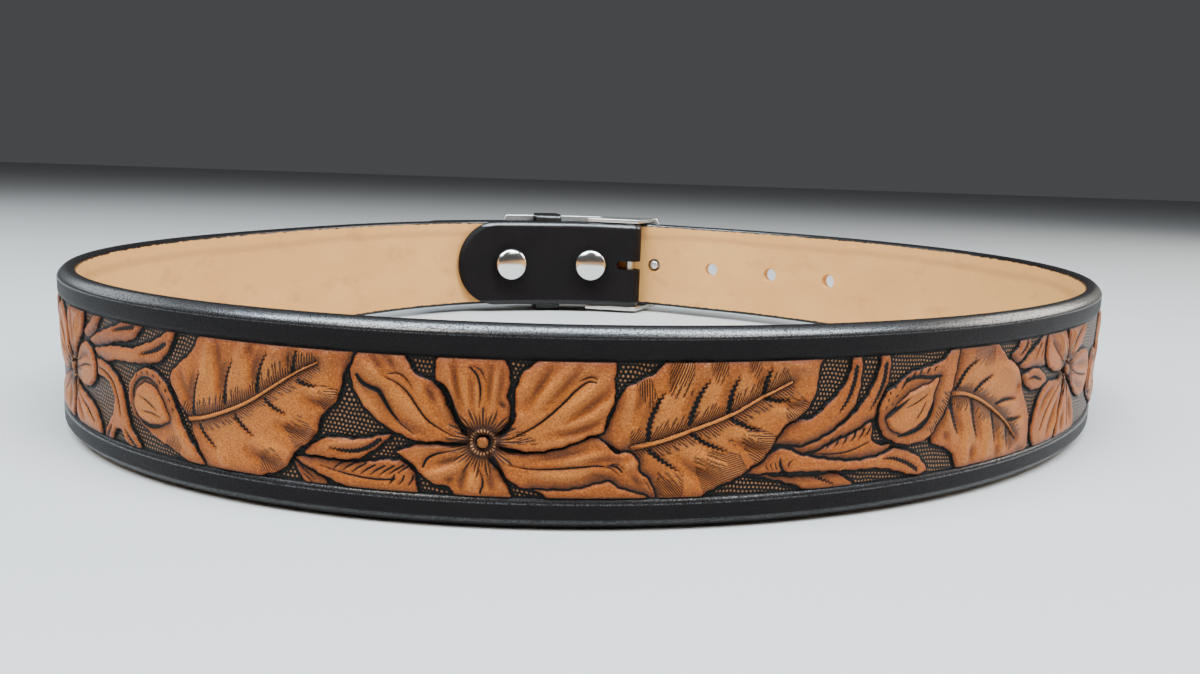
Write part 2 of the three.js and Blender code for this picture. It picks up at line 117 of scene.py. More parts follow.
def bend_strap(flat):
    """Flat places (along, height, through) in mm to places on the bent strap in metres."""
    along, height, through = flat.T
    through = through * thickness_at(along) / STRAP_THICKNESS
    arc = np.where(along >= 0, along, -along - FOLD_LENGTH)
    place, _, out = loop_frame(arc)
    body = place + out * (body_lift(arc) + through)[:, None]
    flap = place - out * (flap_lift(arc) + through)[:, None]
    bar_place, bar_way, bar_out = (v[0] for v in loop_frame(np.zeros(1)))
    turn = math.pi + along / FOLD_RADIUS
    facing = -np.cos(turn)[:, None] * bar_out - np.sin(turn)[:, None] * bar_way
    fold = bar_place - bar_out * FOLD_RADIUS + facing * (FOLD_RADIUS + through)[:, None]
    folded = np.where((along < -FOLD_LENGTH)[:, None], flap, fold)
    plan = np.where((along >= 0)[:, None], body, folded)
    return stand_up(np.column_stack([plan, height]))


def start(obj_name):
    """Names the primitive just added and opens it in edit mode."""
    obj = bpy.context.object
    obj.name = obj.data.name = obj_name
    bpy.ops.object.mode_set(mode="EDIT")
    return obj


def clear():
    if bpy.context.object and bpy.context.object.mode == "EDIT":
        bpy.ops.object.mode_set(mode="OBJECT")
    bpy.ops.object.select_all(action="DESELECT")


def choose(obj, kind, test):
    """Selects only the faces, edges or vertices that pass the test."""
    bpy.ops.mesh.select_mode(type=kind)
    bpy.ops.mesh.select_all(action="DESELECT")
    mesh = bmesh.from_edit_mesh(obj.data)
    items = {"FACE": mesh.faces, "EDGE": mesh.edges, "VERT": mesh.verts}[kind]
    for item in items:
        if test(item):
            item.select_set(True)
    mesh.select_flush_mode()
    bmesh.update_edit_mesh(obj.data)


def between(edge, low, high):
    """True where one face of an edge faces more than high along z and the other less than low."""
    turns = sorted(face.normal.z for face in edge.link_faces)
    return len(turns) == 2 and turns[0] < low and turns[1] > high


def mesh_points(obj):
    flat = np.empty(len(obj.data.vertices) * 3)
    obj.data.vertices.foreach_get("co", flat)
    return flat.reshape(-1, 3)


def move_points(obj, points):
    obj.data.vertices.foreach_set("co", np.ascontiguousarray(points, dtype=np.float32).ravel())
    obj.data.update()


def keep(obj, name, kind, values):
    """Stores values on the points of a mesh, for its material to read."""
    layer = obj.data.attributes.new(name, kind, "POINT")
    field_name = "vector" if kind == "FLOAT_VECTOR" else "value"
    layer.data.foreach_set(field_name, np.asarray(values, np.float32).ravel())


def belt_piece(obj, node_name="strap"):
    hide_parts(node_name)
    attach(obj, "root")


def feed(tree, taker, inputs):
    """Gives each named input of a node a value, or the socket that feeds it."""
    for key, value in inputs.items():
        if isinstance(value, bpy.types.NodeSocket):
            tree.links.new(value, taker.inputs[key])
        else:
            taker.inputs[key].default_value = value


def node(tree, kind, inputs=None, **settings):
    made = tree.nodes.new("ShaderNode" + kind)
    for key, value in settings.items():
        setattr(made, key, value)
    feed(tree, made, inputs or {})
    return made


def maths(tree, operation, *values, clamp=False):
    return node(tree, "Math", dict(enumerate(values)), operation=operation, use_clamp=clamp).outputs[0]


def times(tree, first, second, clamp=False):
    return maths(tree, "MULTIPLY", first, second, clamp=clamp)


def scaled(tree, value, by, plus, clamp=False):
    return maths(tree, "MULTIPLY_ADD", value, by, plus, clamp=clamp)


def rise(tree, value, low, high, start=0.0, stop=1.0):
    """A soft step of a value between two limits."""
    limits = {"Value": value, "From Min": low, "From Max": high, "To Min": start, "To Max": stop}
    return node(tree, "MapRange", limits, interpolation_type="SMOOTHSTEP").outputs[0]


def tint(tree, share, first, second):
    return node(tree, "Mix", {0: share, 6: first, 7: second}, data_type="RGBA").outputs[2]


def bump(tree, height, strength, distance):
    return node(tree, "Bump", {"Height": height, "Strength": strength, "Distance": distance}).outputs[0]


def noise(tree, place, scale, detail=3.0, rough=0.5, stretch=(1, 1, 1)):
    """Cloudy noise over a place, with its cells stretched."""
    laid = node(tree, "Mapping", {"Vector": place, "Scale": stretch}).outputs[0]
    inputs = {"Vector": laid, "Scale": scale, "Detail": detail, "Roughness": rough}
    return node(tree, "TexNoise", inputs).outputs["Fac"]


def stored(tree, name, out="Fac"):
    return node(tree, "Attribute", attribute_name=name).outputs[out]


def finish_of(name):
    """A new material, its node tree and its shader."""
    material = bpy.data.materials.new(name)
    material.use_nodes = True
    tree = material.node_tree
    return material, tree, tree.nodes["Principled BSDF"]


def group_of(name, takes, gives):
    """A node group with named inputs and outputs, and its two end nodes."""
    tree = bpy.data.node_groups.new(name, "ShaderNodeTree")
    for label, kind, value in takes:
        socket = tree.interface.new_socket(label, in_out="INPUT", socket_type=kind)
        if value is not None:
            socket.default_value = value
    for label, kind in gives:
        tree.interface.new_socket(label, in_out="OUTPUT", socket_type=kind)
    return tree, tree.nodes.new("NodeGroupInput"), tree.nodes.new("NodeGroupOutput")


def use(tree, group, inputs):
    made = tree.nodes.new("ShaderNodeGroup")
    made.node_tree = group
    feed(tree, made, inputs)
    return made.outputs


# Leather grain: fine pebbles with pores between them, and slow clouds of tone
grain, grain_in, grain_out = group_of(
    "leather_grain", [("Place", "NodeSocketVector", None), ("Pebble", "NodeSocketFloat", 1.5)],
    [("Height", "NodeSocketFloat"), ("Tone", "NodeSocketFloat")],
)
spot, pebble_scale = grain_in.outputs["Place"], grain_in.outputs["Pebble"]
drift = node(grain, "TexNoise", {"Vector": spot, "Scale": 1.3, "Detail": 2.0}).outputs["Color"]
warped = node(grain, "VectorMath", {0: spot, 1: drift}, operation="ADD").outputs[0]
cells = node(grain, "TexVoronoi", {"Vector": warped, "Scale": pebble_scale, "Randomness": 0.95},
             feature="DISTANCE_TO_EDGE").outputs["Distance"]
pebble = rise(grain, cells, 0.0, 0.22)
fine = noise(grain, spot, 3.4, 3.0, 0.6)
feed(grain, grain_out, {
    "Height": scaled(grain, fine, 0.55, times(grain, pebble, 0.45)),
    "Tone": noise(grain, spot, 0.06, 4.0, 0.6),
})

# Black dyed grain and burnished edges, natural flesh side with the dye just turned over its edges
PANEL = (TOOLING_START, LOOP_LENGTH - TOOLING_STOP)
FLESH_LIGHT, FLESH_TAN = (0.62, 0.29, 0.085, 1), (0.84, 0.45, 0.145, 1)
FLESH_FIBRE, FLESH_MARK, FLESH_STREAK = (0.50, 0.235, 0.08, 1), (0.36, 0.155, 0.06, 1), (0.40, 0.18, 0.07, 1)
DYE_DARK, DYE_LIGHT = (0.0036, 0.0030, 0.0036, 1), (0.0085, 0.0062, 0.0062, 1)
strap_finish, tree, shader = finish_of("dyed_and_natural_leather")
flat = stored(tree, "flat", "Vector")
axes = node(tree, "SeparateXYZ", {0: flat}).outputs
grain_look = use(tree, grain, {"Place": flat, "Pebble": 1.7})
to_side = maths(tree, "MINIMUM", axes["Y"], maths(tree, "SUBTRACT", STRAP_WIDTH, axes["Y"]))
ragged = scaled(tree, noise(tree, flat, 0.5, 4.0, 0.6, (1, 0.3, 1)), 1.2, to_side)
flesh_face = times(tree, rise(tree, axes["Z"], -1.98, -2.06), rise(tree, ragged, 1.75, 2.0))
flesh_share = maths(tree, "MAXIMUM", flesh_face, stored(tree, "wall"), clamp=True)
grain_share = maths(tree, "SUBTRACT", 1.0, flesh_share)
fibres = noise(tree, flat, 1.4, 5.0, 0.65, (0.35, 1, 1))
clouds = noise(tree, flat, 0.035, 4.0, 0.55, (1, 1.6, 1))
marks = rise(tree, noise(tree, flat, 0.075, 4.0, 0.6, (0.8, 1.3, 1)), 0.54, 0.72)
streak_height = scaled(tree, clouds, 4.0, 30.4)
from_streak = maths(tree, "ABSOLUTE", maths(tree, "SUBTRACT", axes["Y"], streak_height))
streak = rise(tree, from_streak, 2.2, 0.2)
natural = tint(tree, clouds, FLESH_LIGHT, FLESH_TAN)
for mask, most, colour in (
    (fibres, 0.5, FLESH_FIBRE), (marks, 0.3, FLESH_MARK), (streak, 0.4, FLESH_STREAK),
):
    natural = tint(tree, times(tree, mask, most), natural, colour)
dyed = tint(tree, grain_look["Tone"], DYE_DARK, DYE_LIGHT)

# The burnished upper edge and the panel's lower lip shine most, broken up by the grain
starts, stops = rise(tree, axes["X"], PANEL[0] - 1, PANEL[0]), rise(tree, axes["X"], PANEL[1] + 1, PANEL[1])
lower_lip = times(tree, rise(tree, to_side, 4.9, 5.15), rise(tree, axes["Y"], 6.1, 5.8, 0.0, 0.5))
lip = times(tree, lower_lip, times(tree, starts, stops))
edge = times(tree, rise(tree, to_side, 2.35, 2.0), rise(tree, axes["Y"], 15.0, 25.0, 0.3))
burnish = times(tree, maths(tree, "MAXIMUM", edge, lip), grain_share, clamp=True)
surface = maths(tree, "ADD", times(tree, grain_look["Height"], grain_share), times(tree, fibres, flesh_share))
shine = scaled(tree, grain_look["Height"], 0.18, 0.36)
feed(tree, shader, {
    "Base Color": tint(tree, flesh_share, dyed, natural),
    "Roughness": maths(tree, "ADD", shine, times(tree, flesh_share, 0.42)),
    "Coat Weight": times(tree, burnish, scaled(tree, grain_look["Height"], 3.4, -0.75), clamp=True),
    "Coat Roughness": 0.26, "Coat IOR": 1.75, "Specular IOR Level": 0.1,
    "Normal": bump(tree, surface, 0.7, 0.00014),
})

STRIP_START = -FOLD_LENGTH - FLAP_LENGTH
STRIP_END = LOOP_LENGTH + TIP_LENGTH

bpy.ops.object.select_all(action="DESELECT")
straight = (STRIP_START + MID, STRIP_END - MID)
bpy.ops.mesh.primitive_cube_add(
    size=1, location=(sum(straight) / 2, MID, 0),
    scale=(straight[1] - straight[0], STRAP_WIDTH, STRAP_THICKNESS),
)
bpy.ops.object.transform_apply(location=True, rotation=True, scale=True)
strip = start("strap_leather")


def reach(edge, axis):
    return abs(edge.verts[0].co[axis] - edge.verts[1].co[axis])


# Enough crossways cuts to bend round the waist, and more where it folds round the bar
for cuts in (17, 19):
    choose(strip, "EDGE", lambda e: reach(e, 0) > 1)
    bpy.ops.mesh.subdivide(number_cuts=cuts)
choose(strip, "EDGE", lambda e: reach(e, 0) > 1
       and -FOLD_LENGTH - 4 < (e.verts[0].co.x + e.verts[1].co.x) / 2 < 3)
bpy.ops.mesh.subdivide(number_cuts=4)

# Both ends are drawn out round, in narrowing steps that stop just short of a point
ENDS = ((straight[0], -1), (straight[1], 1))
turns = np.radians(np.linspace(0, 87, 24))
for end, way in ENDS:
    choose(strip, "FACE", lambda f: f.normal.x * way > 0.9)
    for before, after in zip(turns, turns[1:]):
        bpy.ops.mesh.extrude_region_move(
            TRANSFORM_OT_translate={"value": (way * MID * (math.sin(after) - math.sin(before)), 0, 0)}
        )
        narrower = math.cos(after) / math.cos(before)
        bpy.ops.transform.resize(value=(1, narrower, 1), center_override=(end, MID, 0))
    choose(strip, "EDGE", lambda e: min(v.co.x * way for v in e.verts) > end * way + 0.01
           and all(abs(face.normal.z) > 0.9 for face in e.link_faces))
    bpy.ops.mesh.dissolve_edges(use_verts=False)


def under_edge(edge):
    """True where one face of an edge faces down and the other sideways."""
    turns = sorted(face.normal.z for face in edge.link_faces)
    return len(turns) == 2 and turns[0] < -0.9 and -0.5 < turns[1] < 0.5


# The grain side's edge is rounded wider than the flesh side's
GRAIN_EDGE, FLESH_EDGE = 2.1, 1.4
choose(strip, "EDGE", lambda e: between(e, 0.5, 0.9))
bpy.ops.mesh.bevel(offset=GRAIN_EDGE, segments=6, profile=0.36, affect="EDGES")
choose(strip, "EDGE", under_edge)
bpy.ops.mesh.bevel(offset=FLESH_EDGE, segments=5, profile=0.5, affect="EDGES")
for end, way in ENDS:
    for out in (3.0, 6.5, 10.0, 13.0, 15.5):
        choose(strip, "FACE", lambda f: abs(f.normal.z) > 0.9
               and (f.calc_center_median().x - end) * way > -0.5)
        bpy.ops.mesh.bisect(plane_co=(end + way * out, 0, 0), plane_no=(1, 0, 0))

# The panel for the tooling is sunk between two raised borders with eased inner lips
for point, normal in (
    ((0, PANEL_EDGE, 0), (0, 1, 0)), ((0, STRAP_WIDTH - PANEL_EDGE, 0), (0, 1, 0)),
    ((PANEL[0], 0, 0), (1, 0, 0)), ((PANEL[1], 0, 0), (1, 0, 0)),
):
    choose(strip, "FACE", lambda f: f.normal.z > 0.5 or abs(normal[1]) > 0.5)
    bpy.ops.mesh.bisect(plane_co=point, plane_no=normal)


def in_panel(face):
    middle = face.calc_center_median()
    return (
        face.normal.z > 0.9 and PANEL[0] < middle.x < PANEL[1]
        and PANEL_EDGE < middle.y < STRAP_WIDTH - PANEL_EDGE
    )


LIP_STEPS = ((0.25, -0.03), (0.35, -0.13), (0.35, -0.27), (0.25, -0.30), (0.1, -0.5))
choose(strip, "FACE", in_panel)
for inwards, down in LIP_STEPS:
    bpy.ops.mesh.inset(thickness=inwards, depth=down, use_boundary=True)
bpy.ops.object.mode_set(mode="OBJECT")

# Holes for the buckle's peg, the slot over its bar, and the seats of the snaps
HOLE_ARCS = [LOOP_LENGTH - FIRST_HOLE - i * HOLE_SPACING for i in range(-1, 4)]
THROUGH = 6.0
BARREL_HOLE, POST_HOLE = 3.5, 2.2
POST_HEAD, POST_HEAD_DEPTH = 4.7, 1.3


def punch(along, radius, bottom=-THROUGH, sides=32, stretch=0.0):
    """Cuts a round hole, or one stretched along the strap, down through the flat strip."""
    bpy.ops.object.select_all(action="DESELECT")
    bpy.ops.mesh.primitive_cylinder_add(
        vertices=sides, radius=radius, depth=THROUGH - bottom, location=(along, MID, (THROUGH + bottom) / 2)
    )
    cutter = bpy.context.object
    if stretch:
        bpy.ops.object.mode_set(mode="EDIT")
        for way in (-1, 1):
            choose(cutter, "VERT", lambda v: v.co.x * way > 0.05)
            bpy.ops.transform.translate(value=(way * stretch / 2, 0, 0))
        choose(cutter, "EDGE", lambda e: reach(e, 0) > 5)
        bpy.ops.mesh.subdivide(number_cuts=27)
        bpy.ops.object.mode_set(mode="OBJECT")
    cut = strip.modifiers.new("punch", "BOOLEAN")
    cut.operation, cut.solver, cut.object = "DIFFERENCE", "EXACT", cutter
    bpy.context.view_layer.objects.active = strip
    bpy.ops.object.modifier_apply(modifier=cut.name)
    bpy.data.objects.remove(cutter)


for arc in HOLE_ARCS:
    punch(arc, HOLE_RADIUS)
slot_middle, slot_length = -FOLD_LENGTH / 2, FOLD_LENGTH + 2 * SLOT_REACH
punch(slot_middle, SLOT_HEIGHT / 2, sides=28, stretch=slot_length - SLOT_HEIGHT)
for arc in SNAP_ARCS:
    punch(-FOLD_LENGTH - arc, BARREL_HOLE)
    punch(arc, POST_HOLE)
    punch(arc, POST_HEAD, bottom=STRAP_THICKNESS / 2 - POST_HEAD_DEPTH)

bpy.ops.object.select_all(action="DESELECT")
strip.select_set(True)
bpy.context.view_layer.objects.active = strip
bpy.ops.object.mode_set(mode="EDIT")


def by_hole(x, y, margin):
    return any(math.hypot(x - arc, y - MID) < HOLE_RADIUS + margin for arc in HOLE_ARCS)


def on_rim(edge):
    """True on the sharp rims of the holes and of the slot."""
    x, y, _ = (edge.verts[0].co + edge.verts[1].co) / 2
    turns = [abs(face.normal.z) for face in edge.link_faces]
    by_slot = abs(x - slot_middle) < slot_length / 2 + 0.05 and abs(y - MID) < SLOT_HEIGHT / 2 + 0.05
    return (by_hole(x, y, 0.05) or by_slot) and len(turns) == 2 and max(turns) > 0.9 and min(turns) < 0.2


choose(strip, "EDGE", on_rim)
bpy.ops.mesh.bevel(offset=0.3, segments=2, affect="EDGES")
bpy.ops.object.mode_set(mode="OBJECT")
flat_strip = mesh_points(strip)
keep(strip, "flat", "FLOAT_VECTOR", flat_strip)
punched = []
for face in strip.data.polygons:
    x, y, _ = face.center
    punched.append(float(by_hole(x, y, 0.1) and abs(face.normal.z) < 0.5))
walls = strip.data.attributes.new("wall", "FLOAT", "FACE")
walls.data.foreach_set("value", punched)
move_points(strip, bend_strap(flat_strip))
SHARP = math.radians(35)
bpy.ops.object.shade_smooth_by_angle(angle=SHARP)
strip.data.materials.append(strap_finish)
evened = strip.modifiers.new("even_shading", "WEIGHTED_NORMAL")
evened.keep_sharp = True
bpy.ops.object.modifier_apply(modifier=evened.name)
belt_piece(strip)


# Tooled panel: flowers, leaves, buds and scrolls carved into the grain with a swivel knife, bevelled
# and veined, over a ground matted row by row. It is dyed tan, and black antique paste stays in the
# cuts. Heights are mm above the grain, places are mm along the strap from the front, and mm up.
GROUND = -0.62
PANEL_LOW, PANEL_HIGH = 5.9, 32.1


def drawn(points, closed=False, step=0.45):
    """A smooth line through drawn points; a point given twice stays a sharp corner."""
    p = np.array(points, float)
    n = len(p)
    rows = []
    for i in range(n if closed else n - 1):
        if closed:
            a, b, c, d = p[i - 1], p[i], p[(i + 1) % n], p[(i + 2) % n]
        else:
            a, b, c, d = p[max(i - 1, 0)], p[i], p[i + 1], p[min(i + 2, n - 1)]
        length = math.hypot(*(c - b))
        if length < 1e-6:
            continue
        before, after = math.hypot(*(b - a)) or length, math.hypot(*(d - c)) or length
        lean_b = (c - a) / (before + length) * length if before > 1e-6 and not (a == b).all() else (c - b)
        lean_c = (d - b) / (after + length) * length if after > 1e-6 and not (c == d).all() else (c - b)
        t = np.linspace(0, 1, max(int(length / step), 1) + 1)[:-1, None]
        rows.append(
            (2 * t**3 - 3 * t**2 + 1) * b + (t**3 - 2 * t**2 + t) * lean_b
            + (3 * t**2 - 2 * t**3) * c + (t**3 - t**2) * lean_c
        )
    rows.append(p[:1] if closed else p[-1:])
    return np.concatenate(rows)


def window(field, line, reach):
    """The part of the panel within reach of a line, or None."""
    low, high = line.min(0) - reach, line.max(0) + reach
    i = np.searchsorted(field["s"], (low[0], high[0]))
    j = np.searchsorted(field["z"], (low[1], high[1]))
    if i[0] >= i[1] or j[0] >= j[1]:
        return None
    return slice(*i), slice(*j)


def measure(field, part, line):
    """Distance to a line, mm along it to the nearest point, its side, and whether a place is inside."""
    grid = np.meshgrid(field["s"][part[0]], field["z"][part[1]], indexing="ij")
    s, z = (a.astype(np.float32) for a in grid)
    best = np.full(s.shape, 1e9, np.float32)
    along, side, inside = np.zeros_like(best), np.zeros_like(best), np.zeros(s.shape, bool)
    run = 0.0
    for (ax, az), (bx, bz) in zip(line[:-1], line[1:]):
        dx, dz = bx - ax, bz - az
        length = math.hypot(dx, dz)
        if length < 1e-9:
            continue
        px, pz = s - ax, z - az
        t = np.clip((px * dx + pz * dz) / length**2, 0, 1)
        far = (px - t * dx) ** 2 + (pz - t * dz) ** 2
        near = far < best
        best = np.where(near, far, best)
        along = np.where(near, run + t * length, along)
        side = np.where(near, dx * pz - dz * px, side)
        crosses = (az > z) != (bz > z)
        if dz:
            inside ^= crosses & (px < dx * pz / dz)
        run += length
    return np.sqrt(best), along, np.sign(side), inside, run


CROWN = 2.6  # how far in from its outline a leaf goes on rising
BEVEL_REACH = 1.15  # how far out the ground is pressed down round it


def run_of(line):
    """The distance along a line to each of its points."""
    return np.concatenate([[0], np.cumsum(np.hypot(*np.diff(line, axis=0).T))])


def swayed(line, sway):
    """The line with each point moved sideways."""
    way = np.gradient(line, axis=0)
    way /= np.maximum(np.linalg.norm(way, axis=1), 1e-9)[:, None]
    return line + np.column_stack([-way[:, 1], way[:, 0]]) * sway[:, None]


def lay(field, points, lift=0.0, dome=0.18, press=0.46, ink=0.5, shade=0.95):
    """Lays a leaf or petal over what is carved below, which is bevelled down and inked round it."""
    line = drawn(points, closed=True)
    steps = run_of(line)
    turn = 2 * math.pi * steps / steps[-1]
    sway = 0.09 * np.sin(round(steps[-1] / 3.4) * turn) + 0.05 * np.sin(round(steps[-1] / 1.9) * turn + 1.3)
    line = swayed(line, sway * np.minimum(steps, steps[-1] - steps).clip(0, 1))
    part = window(field, line, 4.0)
    if part is None:
        return
    far, _, _, inside, _ = measure(field, part, line)
    height, stain = field["height"][part], field["stain"][part]
    cut, ground, hair, rim = (field[k][part] for k in ("cut", "ground", "hair", "rim"))
    above = np.clip((height - GROUND) / -GROUND, 0.12, 1)
    pressed = height - press * above * np.exp(-((far / (0.95 * BEVEL_REACH)) ** 2))
    pressed = pressed - 0.1 * above * np.exp(-far / 1.6)
    shaded = np.maximum(stain, shade * np.exp(-((far / (1.25 * BEVEL_REACH)) ** 1.3)))
    rolled_edge = 0.05 * np.exp(-(((far - 0.8) / 0.5) ** 2))
    outline_cut = 0.34 * np.exp(-((far / 0.26) ** 1.5))
    own = lift + dome * (1 - np.exp(-far / CROWN)) + rolled_edge - outline_cut
    height[...] = np.where(inside, own, pressed)
    stain[...] = np.where(inside, 0.55 * np.exp(-far / 0.22), shaded)
    cut[...] = np.where(inside, far - 0.04, np.minimum(cut, far - ink))
    ground[...] = np.where(inside, -far, np.minimum(ground, far))
    hair[...] = np.where(inside, 0, hair * (1 - np.exp(-far / 0.6)))
    rim[...] = np.where(inside, np.exp(-far / 1.5), rim)


def knife(field, points, width=0.17, depth=0.32, ends=(0.0, 0.0), soft=0.3, reach=0.5, wave=0.0):
    """A swivel knife cut that swells and tapers, or, with a wave, a stopped and stepped vein."""
    line = drawn(points, step=0.3)
    if wave:
        steps = run_of(line)
        fine = np.arange(0, steps[-1], 0.08)
        line = np.column_stack([np.interp(fine, steps, line[:, k]) for k in (0, 1)])
        line = swayed(line, 0.24 * np.sin(fine * 2 * math.pi / wave))
    part = window(field, line, 2.0)
    if part is None:
        return
    far, along, _, _, run = measure(field, part, line)
    share = along / run
    swell = np.sqrt(np.clip(np.sin(math.pi * np.clip(share * 0.94 + 0.03, 0, 1)), 0, 1))
    half = width * (ends[0] * (1 - share) + ends[1] * share + (1 - sum(ends) / 2) * swell)
    field["height"][part] -= depth * np.exp(-((far / (half + 0.14)) ** 2)) * (0.3 + 0.7 * swell)
    field["cut"][part] = np.minimum(field["cut"][part], far - half)
    spread = soft * np.exp(-np.maximum(far - half, 0) / reach) * swell
    field["stain"][part] = np.maximum(field["stain"][part], spread)


def flute(field, points, width=1.0, depth=0.12, shade=0.25):
    """A soft valley pressed into a leaf or petal, or, with less than no depth, a ridge."""
    line = drawn(points, step=0.6)
    part = window(field, line, 2.6 * width)
    if part is None:
        return
    far, along, _, _, run = measure(field, part, line)
    swell = np.clip(np.sin(math.pi * np.clip(along / run, 0.04, 0.96)), 0, 1) ** 0.6
    on = field["ground"][part] < 0
    form = np.exp(-((far / (0.85 * width)) ** 2)) * swell * on
    field["height"][part] -= 3.6 * depth * form
    field["stain"][part] = np.maximum(field["stain"][part], 1.5 * shade * form)


def hairs(field, points, reach, pitch=0.55, slant=0.0, amount=0.8, side=0, start_at=0.0, shade=0.0):
    """Fine lines struck off one side of a line, or off both, each a little longer or shorter."""
    line = drawn(points, step=0.6)
    part = window(field, line, reach + start_at + 0.5)
    if part is None:
        return
    far, along, which, _, run = measure(field, part, line)
    far = far - start_at
    phase = (along - slant * far) / pitch
    number = np.floor(phase)
    long = reach * (0.72 + 0.28 * np.sin(number * 2.4 + 1.3 * np.sin(number * 1.7)))
    fade = np.clip((long - far) / 0.5, 0, 1) * np.clip(far / 0.15 + 0.5, 0, 1)
    fade = fade * (1 - 0.45 * np.clip(far / reach, 0, 1))
    on = (field["ground"][part] < -0.25) & (along > 0.02) & (along < run - 0.02)
    if side:
        on &= which == side
    strength = amount * fade * on
    stronger = strength > field["hair"][part]
    field["phase"][part] = np.where(stronger, phase, field["phase"][part])
    field["hair"][part] = np.maximum(field["hair"][part], strength)
    if shade:
        shaded = shade * np.exp(-far / (reach * 0.5)) * on * (far > 0)
        field["stain"][part] = np.maximum(field["stain"][part], shaded)


def midrib(field, points, widths=(0.5, 0.16), press=0.3, shade=0.85, reach=1.5):
    """The raised rib of a leaf: the leaf is bevelled down and inked along both its sides."""
    line = drawn(points, step=0.4)
    part = window(field, line, 4.0)
    if part is None:
        return
    far, along, _, _, run = measure(field, part, line)
    share = along / run
    half = widths[0] + (widths[1] - widths[0]) * share
    past_end = np.clip((0.999 - share) * 400, 0, 1)
    inside, out = far < half, np.maximum(far - half, 0)
    height, stain, on = field["height"][part], field["stain"][part], field["ground"][part] < 0
    low = height - press * np.exp(-((out / 0.8) ** 2)) * on
    rib = height + 0.06 - 0.2 * (far / half) ** 2
    height[...] = np.where(inside & on & (past_end > 0), rib, low)
    dark = np.maximum(stain, shade * np.exp(-((out / reach) ** 1.2)) * on)
    stain[...] = np.where(inside & on, 0.0, dark)
    cut = field["cut"][part]
    cut[...] = np.where(inside & on, half - far + 0.02, np.where(on, np.minimum(cut, out - 0.16), cut))


BOSS = 1.1
SEEDS, COMB_LINES = 24, 46
SEED_RING, EYE_REACH = 2.15, 7.0


def flower(field, centre):
    """The eye of a flower: a domed boss in a ring of seeds, on a dark ground combed outwards."""
    line = np.array([centre, centre], float) + np.array([(-1e-3, 0), (1e-3, 0)])
    part = window(field, line, EYE_REACH)
    if part is None:
        return
    s, z = np.meshgrid(field["s"][part[0]] - centre[0], field["z"][part[1]] - centre[1], indexing="ij")
    far, angle = np.hypot(s, z), np.arctan2(z, s)
    height, stain, cut, hair = (field[k][part] for k in ("height", "stain", "cut", "hair"))
    height -= 0.25 * np.exp(-((far / 3.4) ** 4)) + 0.1 * np.exp(-far / 2.5)
    ring = np.exp(-(((far - SEED_RING) / 0.29) ** 2)) * (far > BOSS + 0.3)
    height += 0.1 * ring
    domed = -0.1 + 0.34 * np.sqrt(np.clip(1 - (far / BOSS) ** 2, 0, 1))
    height[...] = np.where(far < BOSS, domed, height)
    dark = np.clip(np.exp(-((np.maximum(far - 2.9, 0) / 1.5) ** 1.4)), 0, 1)
    stain[...] = np.where(far < BOSS, 0.5, np.where(far < 3.4, dark, np.maximum(stain, dark * 0.9)))
    cut[...] = np.where(far < BOSS, 0.02 + BOSS - far, np.where(far < 3.0, np.abs(far - BOSS) - 0.35, cut))
    combed = np.clip((far - 2.6) / 0.3, 0, 1) * np.clip((5.8 + 1.2 * np.sin(angle * 17) - far) / 1.6, 0, 1)
    ground, phase = field["ground"][part], field["phase"][part]
    ground[...] = np.where(far < 4.0, np.minimum(ground, -0.3), ground)
    on = ground < 0
    phase[...] = np.where((combed > 0.02) & on, angle * COMB_LINES / (2 * math.pi) + 30, phase)
    hair[...] = np.where(on, np.maximum(hair * (far > 6.2), combed), hair)
    seeded = far < 2.75
    phase[...] = np.where(seeded, angle * SEEDS / (2 * math.pi) + 30, phase)
    hair[...] = np.where(seeded, -ring, hair)


FINE_CUT = {"width": 0.12, "depth": 0.2}
SHORT_VEIN = {"width": 0.2, "depth": 0.26, "ends": (0, 0.9), "soft": 0.4, "wave": 0.85}
LOBE_VEIN = {"width": 0.27, "depth": 0.32, "ends": (0.9, 0), "soft": 0.45, "wave": 0.85}


def folds(field, lines, width, shade):
    """Valleys, which are shaded, and ridges, whose depth is less than none, across a leaf or petal."""
    for line, deep in lines:
        flute(field, line, width, deep, shade if deep > 0 else 0)


def petal(field, outline, vein, lift, width=0.18, start_share=0.6):
    """A petal with one long cut down its middle."""
    lay(field, outline, lift, 0.16)
    knife(field, vein, width, 0.3, (start_share, 0), 0.35)


